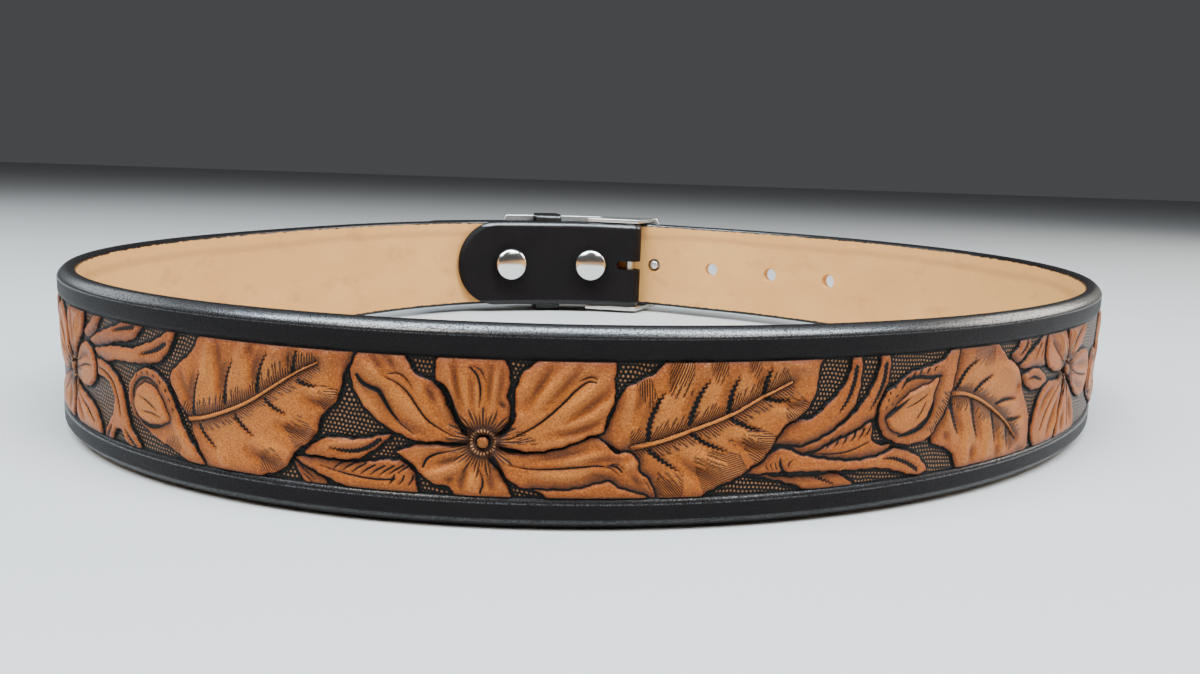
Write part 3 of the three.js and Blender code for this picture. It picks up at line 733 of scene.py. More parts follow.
def small_leaves(field):
    """Two serrated leaves and a comb leaf that fill in between the broad leaf and the flower."""
    lay(field, [(-57.3, 10.1), (-55, 9.6), (-52.7, 8.5), (-50.5, 6.7), (-50.5, 5), (-54.2, 5),
        (-55.9, 7.8)], -0.1)
    knife(field, [(-56.2, 9.3), (-54.5, 8.3), (-52.6, 6.9)], 0.13)
    knife(field, [(-55.3, 8), (-54, 7), (-53.2, 6.2)], 0.13)
    lay(field, [(-57, 10.8), (-51, 11.3), (-45, 11.1), (-41, 11.7), (-38.2, 12.2), (-35.4, 11.7),
        (-33.6, 9.6), (-33.6, 5), (-45, 5.8), (-49.5, 7.3), (-54.1, 9.2)], -0.05)
    knife(field, [(-51.6, 9.9), (-48, 9.1), (-44, 8.5), (-40.5, 8.3), (-37.3, 8.6)], 0.16,
        ends=(0.2, 1))
    for s, z in (
        (-49, 9.6), (-47.2, 9.4), (-45.4, 9.2), (-43.6, 9.1), (-41.8, 9.1), (-40, 9.2), (-38.3, 9.4),
        (-36.7, 9.7),
    ):
        knife(field, [(s, z), (s + 1.1, z + 0.9), (s + 2.7, z + 1.9)], 0.15, 0.28, (0.3, 1), 0.5)
    for s in (-38.4, -36.6, -34.9):
        knife(field, [(s, 7.4), (s + 0.8, 8.5), (s + 1.1, 9.4)], 0.14, 0.26, (0, 1), 0.4)
    lay(field, [(-37.7, 17.1), (-37.7, 17.1), (-40, 16.6), (-44.1, 15.6), (-49.5, 15.5), (-52.3, 14.4),
        (-55, 11.9), (-51.8, 11.6), (-47.3, 11.4), (-44.1, 11.9), (-41.4, 13.6), (-39, 15.6)], 0.0)
    knife(field, [(-39.9, 16), (-41.4, 14.7), (-44.1, 13.5), (-47, 13.2), (-49.8, 13.6)], 0.25, 0.3,
        (0.9, 0), 0.4, wave=0.8)
    flute(field, [(-52, 13.2), (-47, 14.6), (-42, 15.3)], 0.7, -0.06, 0)


def broad_leaf(field):
    """The broad leaf left of the flower, puffed up between its veins."""
    lay(field, [(-81.4, 14.8), (-84.1, 18.3), (-86.4, 22.4), (-85, 24.6), (-81.8, 27.1), (-80, 28.6),
        (-78.4, 31.2), (-76.6, 32.6), (-72, 33.5), (-50, 33.5), (-43.5, 33.2), (-45, 30.5),
        (-46.6, 28.3), (-47.3, 25.1), (-48.4, 22.2), (-51.2, 19.4), (-52.3, 16), (-54.1, 13.9),
        (-56.8, 11.9), (-57.7, 10.1), (-60, 7.8), (-63.2, 6.7), (-66, 5), (-76, 5), (-78, 7),
        (-80, 11.5)], 0.0, 0.16)
    veins = (
        [(-79.9, 16.2), (-79.9, 18.6), (-79.3, 21.6), (-77.9, 25)],
        [(-71.9, 19.4), (-71.9, 21.8), (-71.4, 24.6), (-69.7, 28.2)],
        [(-64.5, 22.6), (-64.3, 25), (-63.6, 27.6), (-62.1, 30.3)],
        [(-57, 26.6), (-56.7, 28.6), (-55.9, 31.2)],
    )
    for vein in veins:
        knife(field, vein, 0.27, 0.34, (0.9, 0.05), 0.55, 0.7, wave=0.98)
        flute(field, [(s - 1.0, z + 0.4) for s, z in vein], 1.1, 0.13, 0.42)
        flute(field, [(s + 1.5, z + 1.2) for s, z in vein], 1.2, -0.07, 0)
    for line in (
        [(-78.4, 14.4), (-77.1, 12.6), (-74.1, 10.1)], [(-69.7, 17.6), (-68.1, 15.7), (-65.5, 13.8)],
        [(-62.9, 21.4), (-61.2, 20), (-58.3, 18.9)], [(-55.9, 25.6), (-53.9, 24.9), (-51.8, 24.8)],
    ):
        knife(field, line, 0.2, 0.28, (0.8, 0), 0.45, 0.6, wave=0.9)
    folds(field, (
        ([(-83.4, 24.8), (-82.2, 21.6), (-81.4, 18.8)], 0.08),
        ([(-75.4, 31.8), (-75.6, 28), (-75.9, 24)], -0.12),
        ([(-73.6, 31.8), (-73.2, 28), (-73.2, 24.5)], 0.12),
        ([(-67.6, 31.8), (-67.8, 28.6), (-68.2, 25)], -0.12), ([(-65.9, 31.8), (-66.1, 28.6)], 0.12),
        ([(-60, 31.8), (-60.4, 29)], -0.1), ([(-50.5, 31.5), (-50.6, 28)], -0.06),
        ([(-48.6, 21.4), (-51.4, 21.6), (-54.6, 22.5)], 0.12),
        ([(-48, 23.2), (-51, 23.3), (-54, 24)], -0.1),
        ([(-53.4, 15.2), (-56.4, 15.7), (-60.2, 16.6)], 0.12),
        ([(-57.6, 11.3), (-61.4, 12), (-65, 12.8)], -0.08),
        ([(-59.6, 8.4), (-62.6, 9.4), (-67, 11)], 0.12),
        ([(-72, 6.6), (-72.6, 8.6), (-73.4, 10.6)], -0.08),
    ), 1.15, 0.34)
    rib = [(-82, 14.9), (-76.8, 16.1), (-70, 18.7), (-65.5, 21), (-60.9, 24), (-55.5, 27.4),
        (-51.9, 29.2)]
    hairs(field, rib, 3.4, 0.56, 0.55, 0.75, side=1, start_at=0.4)
    hairs(field, rib, 2.6, 0.56, 0.75, 0.6, side=-1, start_at=0.4)
    hairs(field, [(-52.2, 15.7), (-54.2, 14), (-56.4, 12.5)][::-1], 5.0, 0.45, -0.6, 0.55, side=1,
        start_at=0.3)
    hairs(field, [(-58.6, 9), (-60.6, 7.7), (-64, 6.9)][::-1], 4.6, 0.5, -0.5, 0.5, side=1,
        start_at=0.3)
    hairs(field, [(-47.6, 24.4), (-48.4, 22.2), (-50.4, 20.2)][::-1], 4.2, 0.5, -0.3, 0.4, side=1,
        start_at=0.3)
    midrib(field, rib)


def long_leaf(field):
    """The broad leaf right of the flower, with struck lines between its veins."""
    lay(field, [(-1, 17.5), (0.8, 19.8), (2.3, 23.9), (3.8, 26.9), (6.5, 28.4), (9.2, 29.9), (11.2, 32),
        (14, 33.5), (30, 33.5), (42, 33.2), (41, 29.8), (40.8, 26.4), (39.8, 23.3), (37.7, 21),
        (35, 19.5), (33.5, 17.9), (32.3, 15.6), (30.8, 13.3), (27.7, 11.2), (25.8, 9.8), (20, 7.3),
        (18, 5.8), (8, 5), (6, 12), (2, 16)], 0.0, 0.16)
    for vein in (
        [(8.1, 17.1), (8.3, 20.2), (9.3, 23.3), (11, 26.3)],
        [(15.7, 20.1), (16.2, 22.4), (17.5, 25.8), (19.2, 28.4)],
        [(23, 22), (23.2, 24.6), (23.8, 26.8), (24.8, 29)], [(29.7, 25.4), (30.1, 27.8), (31.1, 30.4)],
    ):
        knife(field, vein, 0.27, 0.36, (0.9, 0.05), 0.6, 0.7, wave=0.98)
        flute(field, [(s + 1.7, z + 0.9) for s, z in vein], 1.2, -0.08, 0)
        flute(field, [(s - 1.1, z + 0.2) for s, z in vein], 1.0, 0.08, 0.25)
    for line in (
        [(8.3, 15.4), (10.6, 13.6), (14.2, 11.3)], [(15.8, 18.6), (18.7, 16.6), (23.1, 14.8)],
        [(23.5, 21), (26, 19.7), (29.4, 18.4)], [(29.6, 24.7), (32.3, 24.2), (35.3, 24)],
    ):
        knife(field, line, 0.23, 0.34, (0.9, 0), 0.55, 0.6, wave=0.95)
    folds(field, (
        ([(5, 27), (4.6, 23.5), (3.6, 20.5)], -0.1), ([(7.4, 28.2), (6.6, 25), (5.6, 21.6)], 0.1),
        ([(13.4, 32), (12.2, 28.4), (11.2, 25.2)], 0.12),
        ([(15.4, 32), (14.2, 28), (13.2, 25.4)], -0.12), ([(21.2, 32), (20.2, 29)], 0.1),
        ([(19.4, 32), (18.4, 29.6)], -0.08), ([(27.6, 32), (26.8, 29)], 0.1),
        ([(33, 31.6), (36, 30.6), (40, 29.6)], -0.08), ([(10.6, 10), (12.6, 8), (14.4, 6.6)], 0.1),
        ([(13.6, 13.8), (17.6, 11), (21.6, 8.8)], 0.12),
        ([(15.6, 15.4), (20.4, 12.6), (25.6, 10.2)], -0.1),
        ([(23.8, 16.9), (28, 15.6), (31.4, 14.8)], 0.12),
        ([(24, 18.4), (28, 16.9), (32.4, 16.2)], -0.1), ([(32, 22.4), (35.4, 21.6), (38, 21.4)], -0.12),
        ([(33, 23.4), (36, 23), (39.4, 23.4)], 0.1),
    ), 1.1, 0.3)
    rib = [(5.4, 15.9), (10.4, 17.1), (16.2, 19.1), (23.5, 21.8), (28.8, 24.6), (35.3, 27.6)]
    hairs(field, rib, 3.3, 0.56, 0.95, 0.85, side=1, start_at=0.4, shade=0.3)
    hairs(field, rib, 2.7, 0.56, 0.62, 0.8, side=-1, start_at=0.4)
    hairs(field, [(11.6, 32.4), (16.2, 32.4)], 7.0, 0.46, -0.4, 0.75, side=-1, start_at=0.5)
    hairs(field, [(5.4, 28.4), (8, 29.4)], 6.5, 0.46, -0.3, 0.55, side=-1, start_at=0.6)
    hairs(field, [(19, 32.4), (22.6, 32.4)], 4.6, 0.46, -0.4, 0.55, side=-1, start_at=0.5)
    hairs(field, [(26.4, 32.4), (29, 32.4)], 4.0, 0.46, -0.4, 0.5, side=-1, start_at=0.5)
    hairs(field, [(34.8, 27.6), (32.4, 26.5), (31.4, 26)][::-1], 2.6, 0.5, 0.3, 0.6, side=1,
        start_at=0.4)
    hairs(field, [(19, 6.9), (22, 8), (27.4, 10.8)], 7.6, 0.46, -1.0, 0.8, side=1, start_at=0.2)
    hairs(field, [(10, 6.4), (15, 6.4)], 5.0, 0.5, -0.9, 0.6, side=1, start_at=0.3)
    hairs(field, [(29, 12), (31.4, 14.2), (33, 17.4)], 6.5, 0.46, -0.35, 0.8, side=1, start_at=0.2)
    hairs(field, [(35.2, 19.6), (37.7, 21), (39.6, 23)], 4.8, 0.46, -0.3, 0.7, side=1, start_at=0.2)
    midrib(field, rib, (0.5, 0.22))


def scroll_leaf(field):
    """A scroll that throws two long lobes up, a comb lobe across and a tail down to the right."""
    lay(field, [(26.8, 10.3), (31.5, 9.1), (37.3, 7.4), (41.2, 5.8), (50.5, 5.4), (50.2, 6.6),
        (47.7, 8.4), (44, 9.6), (38, 10.6), (31, 11.2)], -0.06)
    knife(field, [(36.5, 10.5), (38.9, 9.9), (41.2, 9), (43.4, 8), (46, 6.8)], 0.2, 0.3, (0.7, 0), 0.5,
        wave=0.85)
    lay(field, [(27.2, 10.6), (29.6, 12.5), (31.9, 14.5), (33.5, 17.5), (35.2, 19.3), (38.5, 20.2),
        (40.2, 20.3), (42.6, 22.2), (45.8, 25.2), (47.6, 28.1), (48.3, 31.5), (48.6, 33), (50.3, 33),
        (50.6, 28.5), (50.2, 24.3), (49.2, 21.4), (46, 18.2), (44, 16)], 0.0, 0.12)
    knife(field, [(49.1, 30), (49, 28), (48.6, 26), (47.6, 23.4), (45.7, 20.8)], **LOBE_VEIN)
    lay(field, [(27.6, 10.5), (33, 15), (38, 14.8), (42, 16), (45.6, 17.8), (49.7, 20.9), (52.5, 24.3),
        (54.4, 28.1), (55, 31.5), (55.1, 33), (57, 33), (57.3, 28), (56.7, 25.2), (55.6, 22.7),
        (54.4, 19.4), (50, 16.6), (44, 13.6), (36, 11)], 0.03, 0.12)
    knife(field, [(56, 30.2), (56, 28), (55.7, 26.2), (54.6, 23.5), (52.8, 20.8)], **LOBE_VEIN)
    lay(field, [(36, 12.4), (41.3, 13.6), (46.3, 15.6), (50.4, 17), (53.6, 18.7), (54.2, 18.2),
        (54, 15.5), (56, 13.8), (59, 13.6), (57, 11.5), (46, 9.5), (32, 10)], 0.0, 0.1)
    knife(field, [(40.8, 13.3), (45, 13), (49, 13.3), (53.6, 14.8)], 0.15, 0.25, (0.1, 0.3), 0.3)
    for s, z in ((43.4, 13.9), (45.2, 14.2), (47, 14.6), (48.8, 15), (50.6, 15.4), (52.2, 15.9)):
        knife(field, [(s, z), (s + 0.9, z + 0.9), (s + 1.5, z + 2.1)], 0.16, 0.3, (0, 0.9), 0.4)
    lay(field, [(27.2, 10.4), (33, 10.2), (40, 9.9), (50, 9.3), (56.7, 9), (60.8, 8), (65, 6.7),
        (67.9, 6.4), (69.3, 7.3), (66.7, 10.3), (63.3, 11.9), (60, 12.7), (56.7, 11.7), (50.4, 11.2),
        (44, 12), (38, 13.4), (34, 14.8)], 0.03, 0.12)
    knife(field, [(57, 10.9), (59.4, 10.8), (62, 10), (64.5, 8.8), (66.4, 7.6)], 0.24, 0.3, (0.1, 0.9),
        0.45, wave=0.85)
    knife(field, [(33.8, 12.9), (34, 11.6), (34.8, 10.2), (35.6, 9.6)], 0.3, 0.34, (0.1, 0.1), 0.6)
    for k, s in enumerate((32.9, 31.9, 31.0)):
        knife(field, [(s, 12.3 - 0.2 * k), (s + 0.1, 11.4), (s + 0.6, 10.7)], 0.15 - 0.02 * k, 0.2,
            soft=0.3)
    knife(field, [(36.4, 12.4), (35.6, 11.6), (35.9, 10.6)], **FINE_CUT)


def spotted_bud(field):
    """A bud half open inside its calyx, right of the scroll."""
    lay(field, [(59.6, 25.8), (56.9, 24.1), (55.4, 21), (55.6, 17.9), (57.2, 15.4), (60.6, 13.7),
        (63.3, 13.1), (68.8, 13.9), (71.6, 17), (73.5, 20), (75, 25), (76.2, 32), (77, 33),
        (74.8, 32.4), (71.3, 29.8), (67.1, 28.7), (62.5, 27.8)], 0.06, 0.16, 0.42, 0.42)
    knife(field, [(60.4, 24.8), (61.6, 26.2), (64.4, 26.9), (68, 26.5), (71, 26.6)], 0.4, 0.3,
        (0.2, 0.4), 0.7, 0.8)
    for s, z in ((61.4, 26.2), (63.1, 27), (65, 27.5), (66.9, 27.6), (68.8, 27.9)):
        knife(field, [(s, z), (s + 0.3, z + 0.5), (s + 0.9, z + 0.9)], 0.18, 0.2, (1, 0), 0.3)
    knife(field, [(60.6, 15.1), (63.4, 15.4), (66.4, 16.4), (68.6, 18.6), (69.4, 21), (69, 23)], 0.42,
        0.34, (0.1, 0.4), 0.8, 0.8)
    lay(field, [(57.2, 18.9), (58.8, 20.6), (61, 22.8), (64.4, 24.6), (68, 25.4), (70.6, 26.4),
        (69.6, 23.6), (69, 20.8), (67.6, 18.2), (64.8, 16.4), (61.6, 15.6), (58.8, 16.6)], 0.1, 0.22,
        0.22, 0.22)
    knife(field, [(57.3, 19.2), (59, 20.4), (60.4, 21.3), (62.4, 22.8)], 0.36, 0.34, (0.6, 0), 0.6)
    knife(field, [(62, 20.8), (64.6, 21.7), (66.9, 22.9), (67.6, 23.4)], **FINE_CUT)
    knife(field, [(64.6, 18), (66.2, 20), (67.2, 22)], **FINE_CUT)
    flute(field, [(59.8, 21), (63.4, 23.6), (67.6, 24.8)], 0.7, -0.1, 0)
    for s, z in (
        (57.2, 22.6), (57.6, 24), (58.3, 21.7), (58.9, 25), (59.3, 23.3), (58.1, 25.2), (56.9, 21.1),
    ):
        knife(field, [(s, z), (s + 0.15, z + 0.3)], 0.16, 0.2, (1, 1), 0.2)
    hairs(field, [(69.4, 14.6), (71.6, 17.2), (73.4, 20.4), (74.4, 23)], 2.4, 0.6, 0.3, 0.7, side=1,
        start_at=0.2, shade=0.35)


def right_leaf(field):
    """The broad leaf right of the bud, its rib bending down to the border."""
    lay(field, [(70, 12.9), (72.5, 11.8), (75.8, 10.2), (77.1, 8.5), (78.3, 6.2), (80, 5), (100, 4.8),
        (104.4, 5.6), (105.1, 8), (105, 11), (104.1, 14.6), (102.3, 17.8), (100.5, 20.1), (99.7, 22),
        (98.3, 24.8), (96.3, 26.8), (92.9, 28.4), (91.3, 29.9), (88.8, 32), (86, 33.5), (77, 33.2),
        (74, 28), (72, 20)], 0.0, 0.18)
    for vein in (
        [(75.8, 23.3), (77.3, 25.9), (79.2, 27.7), (81.9, 29)],
        [(81.7, 22.4), (83.6, 23.8), (87.5, 25.3)], [(89.4, 18.8), (92.4, 19.3), (97.1, 19.1)],
        [(94.8, 14.6), (97.4, 14.4), (100.2, 14.5)],
    ):
        knife(field, vein, 0.24, 0.3, (0.8, 0), 0.5, 0.6, wave=0.95)
        flute(field, [(s + 0.4, z - 1.3) for s, z in vein], 1.1, -0.07, 0)
    for vein in (
        [(74.4, 21.4), (75.2, 18.4), (77.5, 13.7)], [(80.9, 20.6), (82, 16.8), (83.9, 12)],
        [(88.3, 17.3), (89.3, 14.3), (90.7, 10)], [(94.5, 13), (95, 11), (95.4, 8.4)],
    ):
        knife(field, vein, 0.34, 0.34, (0.9, 0.05), 0.7, 0.8, wave=1.0)
        flute(field, [(s - 1.4, z - 1.0) for s, z in vein], 1.3, -0.1, 0)
        flute(field, [(s + 1.3, z - 0.4) for s, z in vein], 1.1, 0.1, 0.32)
    folds(field, (
        ([(73.4, 15), (74.6, 12.6)], 0.1), ([(79.6, 14), (80.4, 10), (80.6, 7)], -0.1),
        ([(82.6, 11), (82.8, 7)], 0.12), ([(86.8, 12.6), (87.4, 9), (87.6, 6.6)], -0.1),
        ([(91.8, 9.6), (92, 6.6)], 0.1), ([(84, 29.6), (88, 30.4)], 0.08),
        ([(90, 27), (94, 26), (97.6, 24)], -0.1), ([(99, 8), (101, 7), (103.6, 7.4)], 0.1),
        ([(97, 22), (99, 21.4)], 0.08),
    ), 1.2, 0.3)
    rib = [(73.8, 22.4), (77.5, 22.4), (81.7, 21.2), (85.8, 19.4), (90, 17), (94.2, 14.2), (99, 10)]
    hairs(field, rib, 3.4, 0.56, -0.1, 0.7, side=-1, start_at=0.4, shade=0.3)
    hairs(field, rib, 2.4, 0.56, 0.7, 0.5, side=1, start_at=0.4)
    hairs(field, [(81, 33), (88, 32)], 4.5, 0.5, -0.9, 0.5, side=-1, start_at=0.8)
    midrib(field, rib, (0.52, 0.16))


def open_flower(field):
    """The five-petalled flower: lower petals first, then the three above that overlap them."""
    eye = (-21.3, 16.4)
    lay(field, [(-20.9, 14.8), (-19, 12.2), (-17.3, 9.2), (-15.6, 5.4), (-16, 4.6), (-26.4, 4.8),
        (-26.6, 6.8), (-27.6, 7.8), (-29.3, 8), (-31.1, 8.7), (-32.9, 10.3), (-34.6, 12.1),
        (-37.2, 13.6), (-37.2, 13.6), (-35, 14.7), (-32.1, 15.6), (-28.9, 16), (-24, 16.2)], 0.0, 0.16)
    knife(field, [(-32, 11.4), (-31.3, 12.9), (-29.6, 13.9), (-27.1, 14.5)], 0.2, 0.3, (0.9, 0), 0.5)
    knife(field, [(-21.7, 7), (-21.2, 8.7), (-21.4, 10), (-21.9, 11.4)], 0.17, 0.3, (1, 0), 0.4)
    folds(field, (
        ([(-34.8, 13.4), (-30, 14.9), (-26, 15)], -0.05),
        ([(-31.6, 9.6), (-28, 10.8), (-25.2, 12.6)], -0.12),
        ([(-30, 11.8), (-27.4, 12.6), (-25, 13.6)], 0.12),
        ([(-25.2, 7), (-25, 9.4), (-24, 11.6)], 0.13), ([(-23, 6.8), (-23, 9), (-22.6, 11)], -0.08),
        ([(-19.6, 7), (-19.8, 9), (-20.4, 11)], 0.13), ([(-27.8, 8.4), (-26.6, 10)], 0.1),
        ([(-17.6, 7.4), (-18.4, 9.4)], -0.06),
    ), 0.95, 0.4)
    lay(field, [(-19.6, 15), (-17.9, 15.2), (-13.9, 14.7), (-9.3, 15.2), (-5.7, 16.6), (-2.1, 17.8),
        (-0.4, 17.5), (1.1, 16), (2.6, 14.9), (5, 15), (6.3, 13.7), (6.9, 11.4), (8.5, 9.9), (9.4, 8.3),
        (9.9, 5.6), (8, 4.6), (-8.6, 4.8), (-9.8, 6.6), (-11.1, 7.4), (-14.6, 8.3), (-16.8, 9.6),
        (-18.6, 11.7), (-20.2, 13.8)], 0.02, 0.16, 0.38, 0.36)
    knife(field, [(-16.6, 12.4), (-12.9, 11.8), (-8.2, 11.9), (-3.9, 12.3), (-0.4, 12.5), (1.8, 12),
        (3.2, 10.6)], 0.16, 0.3, (0, 0.2), 0.4, 0.8)
    knife(field, [(0.9, 12.7), (2.7, 12.3), (3.7, 11.3)], 0.2, 0.28, (0, 0.4), 0.4)
    knife(field, [(1.6, 13), (3.2, 12.7), (4, 12)], 0.1, 0.2)
    lay(field, [(-12.5, 7.8), (-8.2, 7.8), (-5, 8), (-2.5, 8.6), (0, 9.3), (1.3, 9.5), (2.8, 8.6),
        (4.6, 7.8), (6.6, 7.3), (8.6, 6.4), (9.6, 5), (-9, 4.6), (-10.4, 7)], 0.0, 0.05, 0.42, 0.34,
        0.95)
    folds(field, (
        ([(-12, 13.4), (-6, 14.6), (-1.6, 15.8)], 0.12), ([(-13, 14), (-7, 15.4), (-2.4, 16.9)], -0.05),
        ([(-8, 13.4), (-2, 14.2), (3, 14)], -0.07), ([(-3, 13.3), (1.4, 13.8), (4.6, 13.4)], 0.1),
        ([(-12, 10.6), (-6, 10.6), (-1, 11.2)], -0.06), ([(-4, 9.9), (-1, 10.6), (3, 9.8)], 0.1),
        ([(5.2, 11), (6.4, 9.6), (8, 8.4)], 0.12), ([(4, 12.4), (5.2, 12.8), (6, 13)], -0.08),
        ([(6.6, 10), (8, 8.8), (8.8, 7.4)], -0.06),
    ), 0.95, 0.4)
    knife(field, [(7.4, 10.2), (8.4, 9), (8.8, 8)], 0.1, 0.16)
    lay(field, [(-23.6, 17), (-25, 18), (-26.2, 20), (-27.5, 22.6), (-28.4, 24.8), (-29.8, 26.7),
        (-32.5, 28.1), (-33.8, 28.7), (-34.6, 30.5), (-36.4, 32.6), (-38, 33.5), (-42.6, 33.5),
        (-44.6, 31), (-45.5, 28.7), (-45.4, 26.5), (-44.5, 24.2), (-42.7, 21.5), (-39.5, 18.7),
        (-36.4, 17.1), (-33, 16), (-29.5, 16.1), (-25, 16)], 0.0, 0.16)
    knife(field, [(-39, 27.6), (-36.6, 26.5), (-34.6, 24.7), (-32.9, 22.2), (-31.1, 20), (-28.6, 18.4),
        (-26, 17.1)], 0.18, 0.3, (0.2, 0), 0.3)
    knife(field, [(-38.6, 28.2), (-36.3, 28.3), (-34.8, 27.2), (-33.8, 25.4)], 0.13, 0.24, (0.3, 0),
        0.3)
    knife(field, [(-44.3, 27.6), (-43.2, 26.2), (-41.6, 25.4), (-40.2, 24.9), (-39, 23), (-37.7, 20.9),
        (-36.6, 19.6)], 0.42, 0.5, (0.5, 0), 0.8, 0.9)
    knife(field, [(-37.2, 20), (-35.4, 18.5), (-33.4, 17.2)], **FINE_CUT)
    folds(field, (
        ([(-43.6, 30), (-41.6, 28.6), (-40.4, 27)], -0.12),
        ([(-42, 31.6), (-40.4, 29.8), (-39.6, 28.4)], 0.1),
        ([(-37.6, 32), (-36.2, 30), (-34.9, 28.2)], -0.1),
        ([(-39.4, 31.8), (-38, 30.2), (-37, 28.8)], 0.12),
        ([(-31.6, 26.6), (-30.6, 24.6), (-29.6, 22.8)], 0.14), ([(-33, 27.4), (-31.8, 25)], -0.05),
        ([(-37, 25), (-34.8, 22.6), (-32, 19.4)], -0.05),
        ([(-44.4, 26), (-43.2, 23.4), (-40.4, 20.4)], -0.07),
        ([(-30, 25.6), (-28.6, 22.8), (-27, 20.2)], -0.06),
        ([(-38.8, 22), (-36, 19.4), (-31, 17)], 0.06),
    ), 0.95, 0.36)
    hairs(field, [(-23.6, 19), (-23.9, 17.6)], 5.0, 0.34, 0.0, 0.6, side=-1, start_at=0.6)
    lay(field, [(-21.4, 17.6), (-23.9, 18.9), (-26.2, 20.9), (-27.1, 24.2), (-28.1, 26.2),
        (-29.6, 27.4), (-30, 29.2), (-29.2, 32.6), (-28, 33.5), (-18.6, 33.5), (-17.6, 31.9),
        (-16.8, 29.8), (-16.6, 27.4), (-17, 24.9), (-16.4, 22.4), (-17.1, 19.9), (-18.9, 18.1)], 0.02,
        0.14, 0.4, 0.42)
    knife(field, [(-23.7, 30.2), (-22.4, 28.7), (-21.8, 26), (-22, 23)], 0.18, 0.3, (0.7, 0), 0.35)
    knife(field, [(-23, 30.4), (-21.7, 29.6), (-20.8, 27.5)], 0.11, 0.22, (0.6, 0), 0.3)
    for s, deep, top in (
        (-28.2, -0.12, 31.8), (-26.9, 0.12, 31.8), (-25.2, -0.06, 31), (-23.6, 0.1, 28.5),
        (-23, -0.1, 27), (-19.9, 0.1, 31.8), (-18.8, -0.12, 30), (-17.8, 0.08, 30.6),
    ):
        flute(field, [(s, top), (s + 0.12 * (-21.5 - s), 27), (s + 0.3 * (-21.5 - s), 22.6)], 0.75,
            deep, 0.36 if deep > 0 else 0)
    flute(field, [(-18.6, 24.2), (-17.2, 22.8)], 0.6, 0.08, 0.7)
    lay(field, [(-19.4, 16.6), (-18.2, 18), (-16.2, 19.7), (-15.6, 21.7), (-15.8, 24.9), (-15.4, 27.1),
        (-14.3, 29.6), (-11.8, 31.6), (-10, 33.4), (1.2, 33.4), (2.1, 30), (1.8, 28.1), (2.1, 26),
        (1.6, 23.5), (0.5, 21), (0.2, 18.9), (-2.1, 18.1), (-5.7, 16.5), (-9.3, 15.4), (-13.6, 14.9),
        (-17.9, 15.6)], 0.03, 0.16, 0.4, 0.42)
    knife(field, [(-1.5, 28), (-2.9, 28.1), (-5, 26.5), (-7.1, 24.2), (-10, 21.4), (-12.9, 19.2),
        (-17, 17)], 0.19, 0.32, (0.4, 0), 0.35)
    knife(field, [(-1.2, 28.6), (-2.5, 29), (-4.6, 28.2)], 0.12, 0.24, (0.4, 0), 0.3)
    folds(field, (
        ([(-14.6, 25), (-13, 28), (-10.6, 31.2)], -0.12),
        ([(-13.8, 23.4), (-11.4, 27), (-8.6, 31.4)], 0.12),
        ([(-11, 24.4), (-8.6, 27.4), (-5, 31.6)], -0.12),
        ([(-10.4, 23), (-7.4, 26.6), (-3, 31.4)], 0.1),
        ([(-5.6, 28.2), (-3.4, 30.2), (-1.4, 31.6)], -0.06),
        ([(-8, 21.4), (-4, 24.8), (1, 29.6)], -0.12), ([(-6.4, 20.6), (-2.4, 23.6), (1.6, 27.2)], 0.12),
        ([(-7, 19.6), (-2, 21.6), (1.5, 24.8)], -0.1), ([(-9, 17.8), (-4, 19.2), (0.4, 21.4)], 0.12),
        ([(-11, 16.4), (-5, 17.8), (-0.6, 19)], -0.05), ([(-15, 20.4), (-14.6, 22.4)], -0.06),
    ), 1.0, 0.34)
    hairs(field, [(-17.2, 18.8), (-17.2, 16.4)], 5.4, 0.42, -0.25, 0.7, side=1, start_at=0.3)
    knife(field, [(-24.6, 18.2), (-25.6, 20), (-27, 23.4), (-27.8, 25.8), (-29.4, 27.2)], 0.5, 0.3,
        (0.5, 0.1), 0.7, 0.6)
    knife(field, [(-18.6, 17.6), (-17, 19), (-16.2, 20.6)], 0.5, 0.25, (0.4, 0), 0.7, 0.6)
    knife(field, [(-18.4, 15.5), (-16.6, 15.1), (-13.6, 14.8)], 0.45, 0.3, (0.6, 0), 0.6, 0.6)
    knife(field, [(-20, 14.2), (-18.8, 12.2), (-17.2, 10.2)], 0.45, 0.3, (0.6, 0), 0.7, 0.6)
    knife(field, [(-24.4, 15.9), (-27, 15.8), (-30, 15.8)], 0.4, 0.25, (0.5, 0), 0.6, 0.6)
    flower(field, eye)


